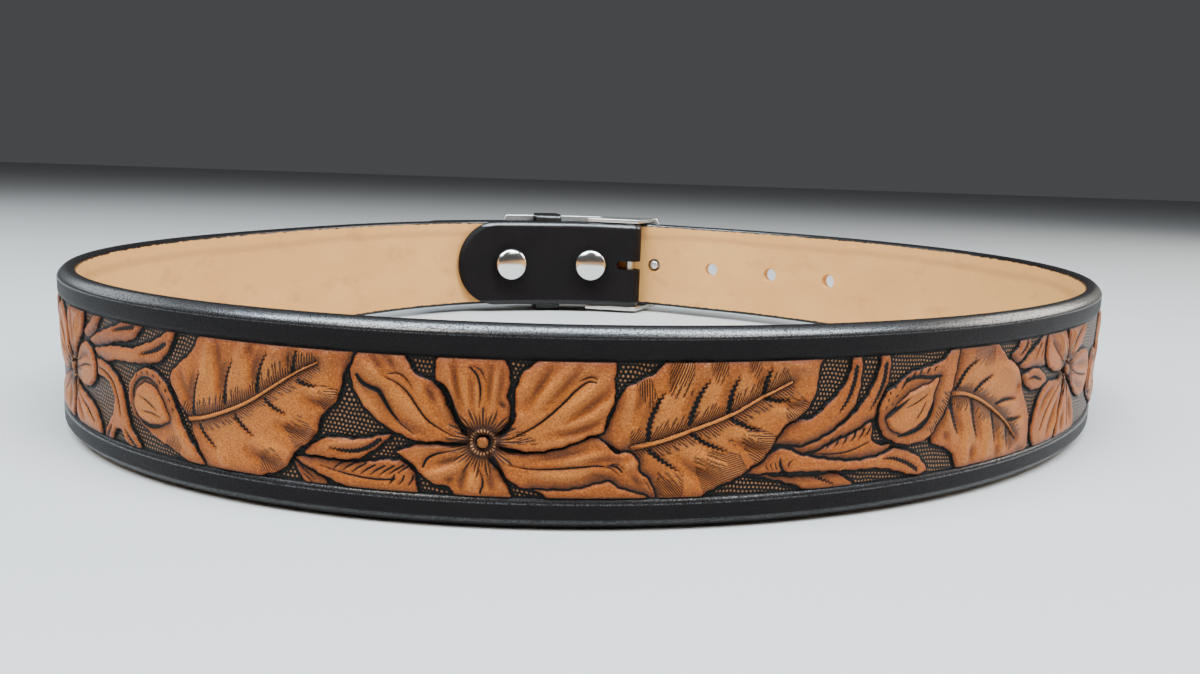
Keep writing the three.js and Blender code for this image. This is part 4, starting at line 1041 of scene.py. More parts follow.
def left_bud(field):
    """The bud at the left, on a stem leaf that runs down under the broad leaf."""
    lay(field, [(-99.6, 15.4), (-99.7, 18.3), (-98.6, 20.6), (-95.5, 22.9), (-92.5, 23.6),
        (-89.5, 22.6), (-87, 20.4), (-84.9, 16.8), (-82.6, 12.6), (-80, 9.4), (-77.9, 6.8), (-78, 5),
        (-82, 6.2), (-86, 8.1), (-90.5, 9.3), (-94.5, 11), (-98, 12.9)], 0.04, 0.16, 0.42, 0.42)
    knife(field, [(-98.2, 16.8), (-97.6, 19), (-95.4, 21), (-92.6, 21.5), (-89.8, 20.2)], 0.3, 0.3,
        (0.2, 0.2), 0.6, 0.8)
    knife(field, [(-97.4, 13.6), (-94.6, 12), (-91.4, 11.7), (-88.6, 12.6)], 0.34, 0.3, (0.3, 0.1), 0.7,
        0.8)
    lay(field, [(-97.6, 14.8), (-97.4, 17.6), (-95.6, 19.8), (-92.6, 20.6), (-89.8, 19.2), (-88, 16.6),
        (-86.8, 13.8), (-89.4, 12.6), (-92.4, 12.2), (-95.6, 12.8)], 0.1, 0.2, 0.24, 0.24)
    knife(field, [(-95.6, 17.6), (-93, 16.8), (-90, 15.2)], 0.14, 0.22)
    knife(field, [(-94.8, 14.6), (-92, 14.6), (-89, 14)], **FINE_CUT)
    for s, z in (
        (-96.6, 22), (-94.8, 22.6), (-92.8, 22.8), (-91, 22.4), (-89.2, 21.4), (-87.6, 20),
        (-86.6, 18.2), (-85.7, 16.4),
    ):
        knife(field, [(s, z), (s + 0.3, z - 0.7)], 0.16, 0.2, (1, 0), 0.3)
    flute(field, [(-86, 15), (-83.6, 11.6), (-80.6, 8.4)], 0.8, -0.08, 0)
    hairs(field, [(-88, 9), (-84, 7.6)], 3.0, 0.5, -0.6, 0.5, side=1, start_at=0.4)


def left_leaves(field):
    """Slender leaves that rise to the border, and a scroll below them."""
    lay(field, [(-120.4, 27.4), (-119.1, 28.2), (-115.5, 30.2), (-112.6, 32.6), (-110, 33.2),
        (-110.6, 31.2), (-113.6, 28), (-117, 26.4)], -0.02)
    lay(field, [(-116, 26), (-114.5, 27.1), (-109, 29.2), (-102.3, 31.4), (-100, 33), (-94, 33),
        (-94.8, 31), (-97.7, 28.6), (-104.5, 27.2), (-111.4, 25)], 0.0)
    knife(field, [(-97, 31.2), (-100.4, 30.6), (-104.7, 29.6)], 0.25, 0.3, (0.9, 0), 0.4, wave=0.9)
    lay(field, [(-113.6, 24.6), (-111.4, 25.2), (-104.5, 26.5), (-97.7, 27), (-95, 27.9), (-90.5, 29.5),
        (-86.4, 31.9), (-85.4, 33), (-84, 33), (-84.9, 30.4), (-86.4, 27.8), (-89.5, 25.2), (-95, 24.1),
        (-104.5, 23.4), (-111, 22)], 0.03)
    knife(field, [(-86.9, 29.3), (-88.6, 28.2), (-91, 27.2), (-95, 26)], 0.27, 0.3, (0.9, 0), 0.4,
        wave=0.9)
    lay(field, [(-114.6, 22.4), (-109, 22.4), (-104.5, 20.4), (-102, 17.6), (-101, 13.6), (-99.4, 10),
        (-96.4, 6.9), (-97, 5), (-101, 6.2), (-103.4, 9), (-105.4, 8.6), (-108.6, 5), (-111.6, 5),
        (-109.4, 8.6), (-106.2, 12.6), (-105.6, 16), (-108, 18.6), (-114.6, 19.6)], 0.02)
    knife(field, [(-112, 21), (-108.6, 20.4), (-105.4, 18.6), (-103.8, 15.6), (-103, 12)], 0.2, 0.3,
        (0, 0.2), 0.4)
    knife(field, [(-101.6, 9.4), (-99.6, 7.6), (-98, 6.6)], **SHORT_VEIN)
    knife(field, [(-106.8, 9.6), (-108.4, 7.6), (-110, 6.2)], **SHORT_VEIN)


def side_flower(field):
    """The flower at the left, half turned away, with its own five petals."""
    eye = (-127.5, 18.4)
    petal(field, [(-126.6, 17), (-124, 14.6), (-119.6, 13.4), (-115.6, 12), (-113, 9.6), (-111.9, 6.6),
        (-113, 4.8), (-124, 4.8), (-127, 7.6), (-128.4, 11.6)], [(-115.4, 8.4), (-118.4, 10.6),
        (-122, 12), (-125, 14.6)], 0.0)
    petal(field, [(-128, 17), (-127.6, 12.6), (-129, 8.6), (-131, 5.8), (-133, 4.8), (-142, 5),
        (-144, 8), (-142, 12), (-138, 14.6), (-133, 16.4)], [(-139.4, 8.4), (-136.6, 11.4),
        (-133, 13.6), (-130, 15.8)], 0.0)
    petal(field, [(-125.6, 17.8), (-121, 15.6), (-116.6, 16), (-113.6, 18.4), (-113.4, 21.6),
        (-115.4, 24.4), (-118.6, 25.4), (-122.6, 23.4)], [(-115.6, 20.6), (-118.6, 20.4), (-122, 19.4),
        (-125, 18.4)], 0.03, 0.17, 0.5)
    petal(field, [(-126.6, 20), (-124, 23.6), (-120.8, 26.6), (-119, 29.6), (-120, 33.4), (-129, 33.4),
        (-131, 28), (-129.8, 23.6)], [(-123.6, 29.8), (-125.4, 27), (-126.4, 23.6), (-127, 21)], 0.04)
    petal(field, [(-128.6, 19.6), (-131, 22.6), (-132, 26.6), (-135, 30), (-139.6, 31.6), (-143.6, 29),
        (-145.4, 24), (-143.4, 19.6), (-138, 17), (-132, 17)], [(-140.6, 26.6), (-137.4, 24.4),
        (-133.4, 21.4), (-130, 19.4)], 0.04)
    folds(field, (
        ([(-141.6, 28.6), (-138, 26.4), (-134.6, 23.4)], 0.12),
        ([(-142, 23.4), (-138, 21.4), (-133, 19.4)], 0.12),
        ([(-127.6, 31.6), (-127.8, 27.6), (-127.8, 23.6)], 0.12),
        ([(-121.6, 31.4), (-123.2, 27.4), (-125, 24)], -0.12),
        ([(-116, 22.8), (-119.6, 22.4), (-123, 20.8)], 0.12),
        ([(-121, 7), (-124, 9.6), (-126, 13)], 0.12), ([(-134, 7), (-132, 10), (-130, 13.6)], 0.12),
        ([(-117, 9.4), (-121, 10.2)], -0.1), ([(-137, 9), (-133.6, 11.6)], -0.1),
    ), 1.0, 0.36)
    flower(field, eye)


def end_leaves(field):
    """Short leaves between the broad leaf at the right and the next flower."""
    lay(field, [(94.6, 28.6), (97, 30.4), (99.1, 33), (103, 33), (102.3, 31), (100.9, 28.7),
        (98.6, 26.7), (96.6, 27)], -0.02)
    knife(field, [(97.4, 28.4), (99.4, 29.6), (100.8, 31.4)], **SHORT_VEIN)
    lay(field, [(98.4, 25.6), (100.4, 27.2), (103.6, 29), (108.2, 31.6), (112, 33.2), (122, 33.2),
        (121, 30.4), (116.8, 26), (107.3, 24.7)], 0.0)
    for s in (104.5, 107, 109.5, 112, 114.5):
        knife(field, [(s, 27 + 0.08 * (s - 104)), (s + 1, 28.4), (s + 2.4, 30.2)], 0.16, 0.28, (0.2, 1),
            0.45)
    lay(field, [(99.8, 23.4), (103, 24.4), (105.9, 24.8), (109.5, 23.5), (112.4, 21), (108, 19.8),
        (103.6, 20.2)], 0.0)
    knife(field, [(102, 22.6), (105, 22.8), (108.4, 21.8)], 0.2, 0.26, (0, 0.7), 0.4, wave=0.85)


def far_flower(field):
    """The flower at the right, its petals cupped towards the next leaf."""
    petal(field, [(122.6, 21.4), (118, 20.6), (113, 20.6), (109, 18), (106.9, 13.7), (106.2, 9.6),
        (108, 6.8), (110, 4.8), (119, 4.8), (121.6, 8.6), (122, 14)], [(110.4, 9.8), (112.8, 13.8),
        (116.6, 17.2), (120, 19.6)], 0.0)
    petal(field, [(123.4, 21), (122.4, 16), (120.6, 10), (121, 4.8), (133, 4.8), (133.6, 9.6),
        (130.4, 14.4), (127, 18)], [(127.8, 8), (127, 12), (125.4, 16), (124.4, 19)], 0.02)
    petal(field, [(125, 21.4), (129, 17.6), (134, 14.4), (139.4, 13.6), (143.8, 16.4), (144.6, 21),
        (141.4, 24.6), (135, 25.4), (129, 24.4)], [(141, 18.6), (136.4, 19.2), (131, 20.4),
        (126.6, 22)], 0.03)
    petal(field, [(124.8, 23.6), (129, 25.2), (134, 27), (137.4, 30), (137.4, 33.4), (125, 33.4),
        (123.4, 28)], [(133.6, 30.6), (129.8, 28.4), (126.4, 25.6)], 0.03)
    petal(field, [(122.4, 23.6), (123.6, 27), (122, 30.4), (119.4, 33.4), (112.6, 33.4), (110, 29.4),
        (111, 25.4), (115, 23), (119.4, 22.4)], [(113.6, 29.8), (116, 27.8), (119, 25.6), (121, 24)],
        0.04)
    folds(field, (
        ([(112, 31), (115, 29), (118.6, 26.6)], 0.12),
        ([(116.6, 32), (118.8, 29), (120.6, 26.4)], -0.12),
        ([(109, 14), (112, 17), (116.6, 19.6)], 0.12), ([(114, 7), (116, 11), (119.6, 16.6)], 0.12),
        ([(117.4, 8), (119.6, 13)], -0.1), ([(124, 7), (123.8, 12)], 0.12),
        ([(131, 8), (129, 12), (126.6, 16)], 0.12), ([(142.6, 21), (137, 22), (130, 22.6)], 0.12),
        ([(139, 15.6), (134, 17), (129.6, 19)], 0.1), ([(135.4, 31.4), (131, 30), (127, 27)], 0.12),
        ([(127.6, 31.6), (125.8, 28)], -0.1),
    ), 1.0, 0.36)
    flower(field, (123.8, 22.3))


def moved(field, shift):
    """The same panel, seen as if the motifs were shifted along it."""
    return {**field, "s": field["s"] - shift}


# The front's motifs in the order in which they overlap; the back has all but its side flowers again
BEHIND = (small_leaves, scroll_leaf, long_leaf, end_leaves, right_leaf, spotted_bud)
IN_FRONT = (broad_leaf, left_bud)
BACK_SHIFTS = (246.0, -268.0, -480.0)


def carve(field):
    """Carves the whole design: the back first, with the front's motifs shifted along to fill it."""
    for shift in BACK_SHIFTS:
        for motif in (*BEHIND, *IN_FRONT, open_flower):
            motif(moved(field, shift))
    for motif in (*BEHIND, left_leaves, *IN_FRONT, side_flower, far_flower, open_flower):
        motif(field)


CLOSED_BELOW = 1.15
BORDER_MARGIN = 1.15
MEASURES = ("cut", "stain", "ground", "hair", "phase", "rim")


def tooled_length(name, low, high, step):
    """One length of the tooled panel: a close grid, carved, closed below and bent onto the strap."""
    count = round((high - low) / step)
    rows = round((PANEL_HIGH - PANEL_LOW) / step)
    clear()
    bpy.ops.mesh.primitive_grid_add(
        x_subdivisions=count, y_subdivisions=rows, size=1,
        location=((low + high) / 2, (PANEL_LOW + PANEL_HIGH) / 2, 0),
    )
    length = bpy.context.object
    length.name = length.data.name = name
    length.scale = (high - low, PANEL_HIGH - PANEL_LOW, 1)
    bpy.ops.object.transform_apply(location=True, rotation=True, scale=True)
    bpy.ops.object.mode_set(mode="EDIT")
    bpy.ops.mesh.select_all(action="SELECT")
    bpy.ops.mesh.region_to_loop()
    bpy.ops.mesh.extrude_region_move(TRANSFORM_OT_translate={"value": (0, 0, -1)})
    choose(length, "EDGE", lambda e: max(v.co.z for v in e.verts) < -0.5 and reach(e, 1) < 1e-6)
    bpy.ops.mesh.bridge_edge_loops()
    bpy.ops.object.mode_set(mode="OBJECT")
    points = mesh_points(length)
    s = np.linspace(low, high, count + 1)
    z = np.linspace(PANEL_LOW, PANEL_HIGH, rows + 1)
    shape = (len(s), len(z))
    field = {"s": s, "z": z, "height": np.full(shape, GROUND)}
    for key in MEASURES:
        field[key] = np.full(shape, 3.0 if key in ("cut", "ground") else 0.0)
    carve(field)
    to_border = np.minimum(z - PANEL_EDGE, STRAP_WIDTH - PANEL_EDGE - z)[None, :] - BORDER_MARGIN
    to_end = np.minimum(s - (PANEL[0] - FRONT), PANEL[1] - FRONT - s)[:, None] - BORDER_MARGIN
    to_edge = np.minimum(to_border, to_end)
    above = np.clip((field["height"] - GROUND) / -GROUND, 0, 1)
    field["height"] -= 0.3 * np.exp(-((np.maximum(to_edge, 0) / 0.7) ** 2)) * above
    field["height"] = np.where(to_edge < 0.05, np.minimum(field["height"], -0.5), field["height"])
    field["cut"] = np.minimum(field["cut"], to_edge - 0.12)
    field["stain"] = np.maximum(field["stain"], 0.6 * np.exp(-np.maximum(to_edge, 0) / 0.5))
    i = np.clip(np.rint((points[:, 0] - low) / (high - low) * count).astype(int), 0, count)
    j = np.clip(np.rint((points[:, 1] - PANEL_LOW) / (PANEL_HIGH - PANEL_LOW) * rows).astype(int), 0, rows)
    below = points[:, 2] < -0.5
    through = STRAP_THICKNESS / 2 + np.where(below, -CLOSED_BELOW, field["height"][i, j])
    flat = np.column_stack([points[:, 0] + FRONT, points[:, 1], through])
    keep(length, "flat", "FLOAT_VECTOR", flat)
    for key in MEASURES:
        keep(length, key, "FLOAT", field[key][i, j])
    keep(length, "level", "FLOAT", field["height"][i, j])
    move_points(length, bend_strap(flat))
    bpy.ops.object.shade_smooth_by_angle(angle=math.radians(60))
    length.data.materials.append(tooled_leather)
    belt_piece(length)


# Tan dye over the carving, antique paste in the cuts and the matting, a satin finish over it all, and painted
# shade and highlights
TAN_DARK, TAN_LIGHT = (0.33, 0.074, 0.003, 1), (0.52, 0.140, 0.008, 1)
PASTE, BLACK, SEED = (0.030, 0.011, 0.006, 1), (0.0022, 0.0015, 0.0014, 1), (0.42, 0.20, 0.085, 1)
tooled_leather, tree, shader = finish_of("tooled_leather")
flat = stored(tree, "flat", "Vector")
grain_look = use(tree, grain, {"Place": flat, "Pebble": 2.2})
mottle = noise(tree, flat, 0.32, 4.0, 0.6)
specks = noise(tree, flat, 2.6, 4.0, 0.65)
level, struck, cut = stored(tree, "level"), stored(tree, "hair"), stored(tree, "cut")
up_panel = node(tree, "SeparateXYZ", {0: flat}).outputs["Y"]
stain = times(tree, stored(tree, "stain"), scaled(tree, mottle, 0.5, 0.75), clamp=True)
phase = maths(tree, "FRACT", scaled(tree, noise(tree, flat, 0.9, 2.0), 0.12, stored(tree, "phase")))
hair_line = rise(tree, maths(tree, "ABSOLUTE", maths(tree, "SUBTRACT", phase, 0.5)), 0.36, 0.16)
hair = times(tree, hair_line, struck)
wobble = maths(tree, "SUBTRACT", noise(tree, flat, 2.4, 3.0), 0.5)
ink = rise(tree, scaled(tree, wobble, 0.22, cut), 0.09, -0.06)
tan = tint(tree, grain_look["Tone"], TAN_DARK, TAN_LIGHT)
for share, colour in (
    (times(tree, mottle, 0.5), (0.24, 0.044, 0.003, 1)),  # cloudy dye
    (times(tree, rise(tree, level, 0.06, 0.2), 0.45), (0.62, 0.23, 0.050, 1)),  # rubbed high places
    (times(tree, rise(tree, level, -0.02, -0.35), 0.75), (0.11, 0.024, 0.004, 1)),  # dye in low places
    (times(tree, stored(tree, "rim"), 0.5), (0.24, 0.052, 0.018, 1)),  # darker along the outlines
    # painted shade: the panel darkens towards its top, under the raised upper border
    (rise(tree, up_panel, 26.0, 32.4, 0.0, 0.72), (0.17, 0.036, 0.011, 1)),  # and under the upper border
    (rise(tree, specks, 0.5, 0.66, 0.0, 0.62), (0.13, 0.026, 0.002, 1)),
    (rise(tree, specks, 0.48, 0.34, 0.0, 0.42), (0.74, 0.27, 0.045, 1)),
    # painted highlight: hatched and combed areas are lightened as if light caught the ridges between struck
    # lines
    (times(tree, struck, 0.5, clamp=True), (0.62, 0.20, 0.035, 1)),  # ridges between struck lines
    (stain, PASTE),
    (times(tree, hair, 2.8, clamp=True), (0.024, 0.006, 0.002, 1)),
    (times(tree, rise(tree, grain_look["Height"], 0.48, 0.3), 0.5), (0.16, 0.05, 0.015, 1)),  # pores
    (ink, BLACK),
    (rise(tree, hair, -0.3, -0.7), SEED),
):
    tan = tint(tree, share, tan, colour)

# The matting tool leaves small round dots in slightly wandering rows
DOT_PITCH, ROW_PITCH, ROW_TURN = 0.8, 0.84, 0.09
drift = node(tree, "TexNoise", {"Vector": flat, "Scale": 0.18, "Detail": 1.0}).outputs["Color"]
wander = node(tree, "VectorMath", {0: drift, "Scale": 1.6}, operation="SCALE").outputs[0]
laid = node(tree, "Mapping", {
    "Vector": flat, "Rotation": (0, 0, ROW_TURN), "Scale": (1 / DOT_PITCH, 1 / ROW_PITCH, 1)}).outputs[0]
shifted = node(tree, "VectorMath", {0: laid, 1: wander}, operation="ADD").outputs[0]
rows = node(tree, "SeparateXYZ", {0: shifted}).outputs
offset = times(tree, maths(tree, "MODULO", maths(tree, "FLOOR", rows["Y"]), 2.0), 0.5)
dot_x = maths(tree, "SUBTRACT", maths(tree, "FRACT", maths(tree, "ADD", rows["X"], offset)), 0.5)
dot_y = maths(tree, "SUBTRACT", maths(tree, "FRACT", rows["Y"]), 0.5)
dot_far = maths(tree, "SQRT", maths(tree, "ADD", times(tree, dot_x, dot_x), times(tree, dot_y, dot_y)))
dot = rise(tree, dot_far, 0.36, 0.16)
on_ground = rise(tree, stored(tree, "ground"), -0.02, 0.03)
clear_of_cuts = rise(tree, cut, 0.05, 0.4)
dot_tone = times(tree, dot, times(tree, clear_of_cuts, scaled(tree, mottle, 0.9, 0.35)), clamp=True)
matted = tint(tree, dot_tone, (0.0028, 0.0018, 0.0014, 1), (0.40, 0.18, 0.075, 1))
raised = times(tree, times(tree, dot, on_ground), 2.2)
pebbled = maths(tree, "ADD", times(tree, grain_look["Height"], 0.55), raised)
relief = maths(tree, "ADD", pebbled, times(tree, hair, -2.0))
feed(tree, shader, {
    "Base Color": tint(tree, on_ground, tan, matted),
    "Roughness": scaled(tree, ink, 0.12, scaled(tree, grain_look["Height"], 0.22, 0.27)),
    "Specular IOR Level": 0.17,
    "Normal": bump(tree, relief, 0.9, 0.00016),
})

# The front is carved in three lengths on a close grid, and the back in two on a wider one
SEAM, END_GAP = 150.0, 0.9
for name, low, high, step in (
    ("tooled_front_left", -SEAM, -SEAM / 3, 0.2),
    ("tooled_front_middle", -SEAM / 3, SEAM / 3, 0.2),
    ("tooled_front_right", SEAM / 3, SEAM, 0.2),
    ("tooled_back_left", PANEL[0] - FRONT + END_GAP, -SEAM, 0.32),
    ("tooled_back_right", SEAM, PANEL[1] - FRONT - END_GAP, 0.3),
):
    tooled_length(name, low, high, step)


# Keeper: a narrow loop of the same black-dyed leather, its ends joined out of sight. It lies between
# the flap and the body and goes round the tip, which it holds flat behind the buckle.
KEEPER_ARC = 39.4
KEEPER_WIDTH = 11.3
KEEPER_LEATHER = 2.2
KEEPER_LIFTS = (-4.7, 9.3)
KEEPER_HEIGHTS = (-3.4, 41.4)
KEEPER_CORNER, KEEPER_EDGE = 2.4, 0.7


def set_on_loop(obj, arc):
    """Stands a piece drawn in mm, along x, up y and outwards z, at a place on the loop."""
    place, way, out = (v[0] for v in loop_frame(np.array([arc])))
    points = mesh_points(obj)
    plan = place + points[:, :1] * way + points[:, 2:] * out
    move_points(obj, stand_up(np.column_stack([plan, points[:, 1]])))


clear()
tall, deep = KEEPER_HEIGHTS[1] - KEEPER_HEIGHTS[0], KEEPER_LIFTS[1] - KEEPER_LIFTS[0]
bpy.ops.mesh.primitive_cube_add(
    size=1, location=(0, sum(KEEPER_HEIGHTS) / 2, sum(KEEPER_LIFTS) / 2), scale=(KEEPER_WIDTH, tall, deep)
)
bpy.ops.object.transform_apply(location=True, rotation=True, scale=True)
keeper = start("keeper_loop")


def turns_along(edge, axis):
    """How far each of an edge's two faces faces along an axis, or nothing for an open edge."""
    return [abs(face.normal[axis]) for face in edge.link_faces] if len(edge.link_faces) == 2 else [0]


# A band is left of the block, with its outer corners rounded first and then all its rims
choose(keeper, "FACE", lambda f: abs(f.normal.x) > 0.9)
bpy.ops.mesh.inset(thickness=KEEPER_LEATHER, depth=0, use_individual=True)
bpy.ops.mesh.bridge_edge_loops()
choose(keeper, "EDGE", lambda e: reach(e, 0) > 1 and max(turns_along(e, 1)) > 0.9
       and max(turns_along(e, 2)) > 0.9 and abs(e.verts[0].co.y - MID) > tall / 2 - 0.1)
bpy.ops.mesh.bevel(offset=KEEPER_CORNER, segments=6, affect="EDGES")
choose(keeper, "EDGE", lambda e: reach(e, 0) < 1e-3 and max(turns_along(e, 0)) > 0.9
       and min(turns_along(e, 0)) < 0.5)
bpy.ops.mesh.bevel(offset=KEEPER_EDGE, segments=4, affect="EDGES")
bpy.ops.object.mode_set(mode="OBJECT")
keep(keeper, "flat", "FLOAT_VECTOR", mesh_points(keeper))
set_on_loop(keeper, KEEPER_ARC)
bpy.ops.object.shade_smooth_by_angle(angle=SHARP)
keeper.data.materials.append(strap_finish)
belt_piece(keeper, "keeper")


# Buckle: a bent plate with bowed ends and a raised rim lies over the tip and the keeper. Its cheeks
# carry the bar that the strap is folded round, and its peg goes through a hole of the tip. It is
# soldered from white metal and satin nickel plated.
PLATE_ARCS = (-10.0, 56.3)
PLATE_LIFTS = (9.7, 12.3)
PLATE_BOW = 4.6
PLATE_RIM = 3.0
BUCKLE_HALF_HEIGHT = 21.2
CHEEK = 1.8
CHEEK_LOW, CHEEK_HIGH, CHEEK_SLANT = (-10.0, -7.1), (13.6, 11.0), 6.2
BAR_RADIUS = 1.75
PEG_RADIUS = 2.0
PEG_TOP = 11.2
PEG_ARC = LOOP_LENGTH - FIRST_HOLE

nickel, tree, shader = finish_of("satin_nickel")
place = node(tree, "TexCoord").outputs["Object"]
brushed = noise(tree, place, 900.0, 3.0, 0.6, (0.08, 0.08, 1.0))
cloudy = noise(tree, place, 60.0, 4.0, 0.6)
feed(tree, shader, {
    "Base Color": tint(tree, cloudy, (0.60, 0.59, 0.56, 1), (0.72, 0.71, 0.67, 1)),
    "Metallic": 1.0,
    "Roughness": scaled(tree, brushed, 0.18, scaled(tree, cloudy, 0.12, 0.2)),
    "Normal": bump(tree, brushed, 0.25, 0.00003),
})


def bend_round(obj, arc):
    """Bends a plate drawn flat round the loop: x runs along it, y is up and z is the lift."""
    points = mesh_points(obj)
    spot, _, out = loop_frame(arc + points[:, 0])
    move_points(obj, stand_up(np.column_stack([spot + out * points[:, 2:], points[:, 1]])))


def metal_piece(obj, finish, node_name):
    bpy.ops.object.shade_smooth_by_angle(angle=SHARP)
    obj.data.materials.append(finish)
    belt_piece(obj, node_name)


def block(name, low, high):
    """A box between two corners, in mm, left open in edit mode."""
    clear()
    low, high = Vector(low), Vector(high)
    bpy.ops.mesh.primitive_cube_add(size=1, location=(low + high) / 2, scale=high - low)
    bpy.ops.object.transform_apply(location=True, rotation=True, scale=True)
    return start(name)


middle_arc, half_length = sum(PLATE_ARCS) / 2, (PLATE_ARCS[1] - PLATE_ARCS[0]) / 2
plate = block("buckle_plate", (-half_length, MID - BUCKLE_HALF_HEIGHT, PLATE_LIFTS[0]),
              (half_length, MID + BUCKLE_HALF_HEIGHT, PLATE_LIFTS[1]))
choose(plate, "EDGE", lambda e: between(e, 0.5, 0.9) or between(e, -0.9, -0.5))
bpy.ops.mesh.bevel(offset=0.45, segments=3, affect="EDGES")
choose(plate, "FACE", lambda f: f.normal.z > 0.999)
bpy.ops.mesh.inset(thickness=PLATE_RIM - 0.75, depth=0)
bpy.ops.mesh.inset(thickness=0.3, depth=-0.6)
choose(plate, "EDGE", lambda e: between(e, 0.6, 0.9) and max(v.co.x for v in e.verts) < half_length - 1)
bpy.ops.mesh.bevel(offset=0.18, segments=2, affect="EDGES")
for axis, cuts in ((0, 31), (1, 23)):
    choose(plate, "EDGE", lambda e: reach(e, axis) > 5)
    bpy.ops.mesh.subdivide(number_cuts=cuts)
bpy.ops.object.mode_set(mode="OBJECT")
points = mesh_points(plate)
points[:, 0] *= 1 + PLATE_BOW / half_length * (1 - ((points[:, 1] - MID) / BUCKLE_HALF_HEIGHT) ** 2)
move_points(plate, points)
bend_round(plate, middle_arc)
metal_piece(plate, nickel, "buckle")

for name, low, high in (
    ("buckle_cheek_lower", MID - BUCKLE_HALF_HEIGHT, MID - BUCKLE_HALF_HEIGHT + CHEEK),
    ("buckle_cheek_upper", MID + BUCKLE_HALF_HEIGHT - CHEEK, MID + BUCKLE_HALF_HEIGHT),
):
    cheek = block(name, (CHEEK_LOW[0], low, CHEEK_LOW[1]), (CHEEK_HIGH[0], high, CHEEK_HIGH[1]))
    choose(cheek, "VERT", lambda v: v.co.z < 0)
    bpy.ops.transform.translate(value=(CHEEK_SLANT, 0, 0))
    bpy.ops.mesh.select_all(action="SELECT")
    bpy.ops.mesh.bevel(offset=0.4, segments=3, affect="EDGES")
    bpy.ops.object.mode_set(mode="OBJECT")
    set_on_loop(cheek, 0.0)
    metal_piece(cheek, nickel, "buckle")

clear()
bpy.ops.mesh.primitive_cylinder_add(
    vertices=32, radius=BAR_RADIUS, depth=2 * BUCKLE_HALF_HEIGHT - CHEEK,
    location=(0, MID, -FOLD_RADIUS), rotation=(math.pi / 2, 0, 0),
)
bar = bpy.context.object
bar.name = bar.data.name = "buckle_bar"
bpy.ops.object.transform_apply(location=True, rotation=True, scale=True)
set_on_loop(bar, 0.0)
metal_piece(bar, nickel, "buckle")

clear()
peg_low = float(body_lift(PEG_ARC)) - STRAP_THICKNESS / 2 - 0.8
bpy.ops.mesh.primitive_cylinder_add(
    vertices=32, radius=PEG_RADIUS, depth=PEG_TOP - peg_low, location=(0, MID, (PEG_TOP + peg_low) / 2)
)
peg = start("buckle_peg")
choose(peg, "EDGE", lambda e: e.verts[0].co.z < 0 and e.verts[1].co.z < 0)
bpy.ops.mesh.bevel(offset=0.9, segments=4, affect="EDGES")
bpy.ops.object.mode_set(mode="OBJECT")
bpy.ops.object.transform_apply(location=True, rotation=True, scale=True)
set_on_loop(peg, PEG_ARC)
metal_piece(peg, nickel, "buckle")


# Snaps: two of them close the flap over the bar, each a domed cap with its barrel through the flap,
# over a post that is set in the body. They are pressed brass, bright nickel plated.
CAP_RADIUS = 7.0
CAP_RISE = 2.2
CAP_RIM = 0.7
BARREL, BARREL_LIP = 3.2, 2.2

bright_nickel, tree, shader = finish_of("bright_nickel")
place = node(tree, "TexCoord").outputs["Object"]
scuffs = noise(tree, place, 700.0, 4.0, 0.65, (1, 1, 0.2))
cloudy = noise(tree, place, 150.0, 3.0, 0.5)
feed(tree, shader, {
    "Base Color": tint(tree, cloudy, (0.74, 0.73, 0.70, 1), (0.84, 0.83, 0.80, 1)),
    "Metallic": 1.0,
    "Roughness": scaled(tree, scuffs, 0.14, 0.1),
    "Normal": bump(tree, scuffs, 0.15, 0.00002),
})


def set_square(obj, arc):
    """Stands a snap square on the flap: its z runs outwards from the flap's middle."""
    spots = []
    for end in (arc - CAP_RADIUS / 2, arc + CAP_RADIUS / 2):
        place, _, out = loop_frame(np.array([end]))
        spots.append(place[0] - out[0] * flap_lift(end))
    way = (spots[1] - spots[0]) / np.linalg.norm(spots[1] - spots[0])
    out = np.array([way[1], -way[0]])
    points = mesh_points(obj)
    plan = (spots[0] + spots[1]) / 2 + points[:, :1] * way + points[:, 2:] * out
    move_points(obj, stand_up(np.column_stack([plan, points[:, 1] + MID])))


for side, arc in zip(("right", "left"), SNAP_ARCS):
    base = -FLAP_THICKNESS / 2 - 0.45
    barrel_end = float(flap_lift(arc) - thickness_at(arc) / 2) - 0.3
    clear()
    bpy.ops.mesh.primitive_uv_sphere_add(segments=48, ring_count=24, radius=CAP_RADIUS)
    cap = start("snap_cap_" + side + "_dome")
    bpy.ops.mesh.select_all(action="SELECT")
    bpy.ops.mesh.bisect(plane_co=(0, 0, 0), plane_no=(0, 0, 1), clear_outer=True)
    bpy.ops.mesh.select_all(action="SELECT")
    bpy.ops.transform.resize(value=(1, 1, CAP_RISE / CAP_RADIUS))
    bpy.ops.transform.translate(value=(0, 0, base - CAP_RIM))
    choose(cap, "EDGE", lambda e: e.is_boundary)
    # The rim, the cap's flat underside, the barrel, and its lip turned in
    for up, wider in (
        (CAP_RIM * 0.5, 1.02), (CAP_RIM * 0.5, 0.985), (0, BARREL / 7.03), (barrel_end - base, 1),
        (0, BARREL_LIP / BARREL), (base + 0.3 - barrel_end, 1),
    ):
        bpy.ops.mesh.extrude_region_move(TRANSFORM_OT_translate={"value": (0, 0, up)})
        bpy.ops.transform.resize(value=(wider, wider, 1), center_override=(0, 0, 0))
    bpy.ops.mesh.edge_face_add()
    bpy.ops.mesh.select_all(action="SELECT")
    bpy.ops.mesh.normals_make_consistent(inside=False)
    bpy.ops.object.mode_set(mode="OBJECT")
    set_square(cap, arc)
    metal_piece(cap, bright_nickel, "snap_cap_" + side)
    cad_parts["snap_post_" + side].material_slots[0].material = nickel


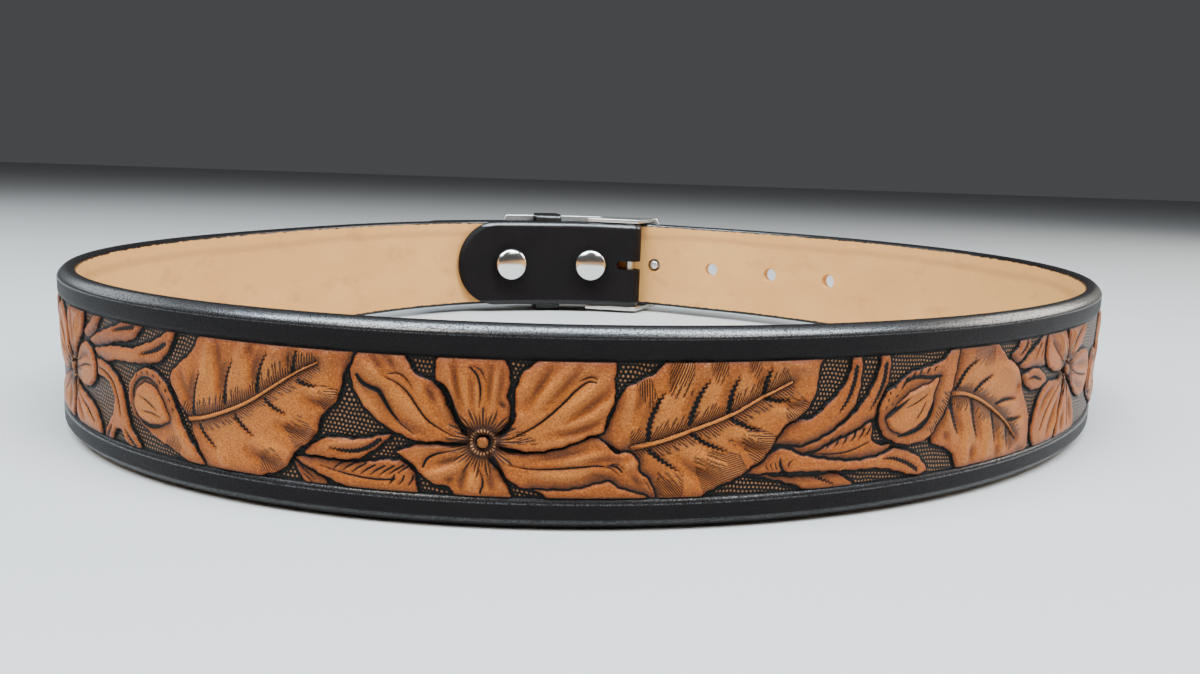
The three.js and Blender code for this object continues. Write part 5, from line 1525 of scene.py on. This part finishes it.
# Floor, light and camera: the belt stands on a plain pale floor. A long soft light hangs over it,
# two small warm ones fill the front, and one on each side lights the edges.
bpy.ops.object.select_all(action="DESELECT")
bpy.ops.mesh.primitive_plane_add(size=12, location=(0, 0, 0))
floor = bpy.context.object
floor.name = "floor"
paint, tree, shader = finish_of("pale_floor")
feed(tree, shader, {"Base Color": (0.52, 0.515, 0.50, 1), "Roughness": 0.6})
floor.data.materials.append(paint)

world = bpy.data.worlds.new("studio")
bpy.context.scene.world = world
world.use_nodes = True
feed(world.node_tree, world.node_tree.nodes["Background"], {"Color": (0.86, 0.88, 0.92, 1), "Strength": 0.08})


WARM, WARM_SIDE = (1.0, 0.95, 0.88), (1.0, 0.93, 0.85)
COOL_TOP, COOL_SIDE = (0.76, 0.89, 1.0), (0.86, 0.94, 1.0)


def softbox(name, place, aim, size, power, colour):
    light = bpy.data.lights.new(name, "AREA")
    light.shape = "RECTANGLE"
    light.size, light.size_y = size
    light.energy = power
    light.color = colour
    lamp = bpy.data.objects.new(name, light)
    lamp.location = place
    lamp.rotation_euler = (Vector(aim) - Vector(place)).to_track_quat("-Z", "Y").to_euler()
    bpy.context.scene.collection.objects.link(lamp)


softbox("overhead", (0.0, -0.3, 0.9), (0, -0.1, 0), (1.9, 0.26), 46, COOL_TOP)
softbox("front_left", (-0.5, -0.75, 1.0), (0, -0.1, 0.02), (0.4, 0.4), 8, WARM)
softbox("front_right", (0.6, -0.7, 0.95), (0, -0.1, 0.02), (0.4, 0.4), 5, WARM)
softbox("rim_left", (-1.1, 0.35, 0.55), (0, 0, 0.03), (0.7, 0.5), 3, COOL_SIDE)
softbox("rim_right", (1.1, 0.35, 0.55), (0, 0, 0.03), (0.7, 0.5), 9, WARM_SIDE)

SENSOR, FOCAL_PIXELS, PHOTO_WIDTH = 36, 1000.64, 1200
CAMERA_PLACE, CAMERA_TURNS = (-0.0010078, -0.31915, 0.067165), (-0.0282, 90 - 10.0774, 1.8932)
view = bpy.data.cameras.new("camera")
view.sensor_width = SENSOR
view.lens = SENSOR * FOCAL_PIXELS / PHOTO_WIDTH
view.clip_start = 0.01
camera = bpy.data.objects.new("camera", view)
pose = Matrix.Translation(CAMERA_PLACE)
for turn, axis in zip(CAMERA_TURNS, "ZXZ"):
    pose = pose @ Matrix.Rotation(math.radians(turn), 4, axis)
camera.matrix_world = STAND @ pose
bpy.context.scene.collection.objects.link(camera)
bpy.context.scene.camera = camera
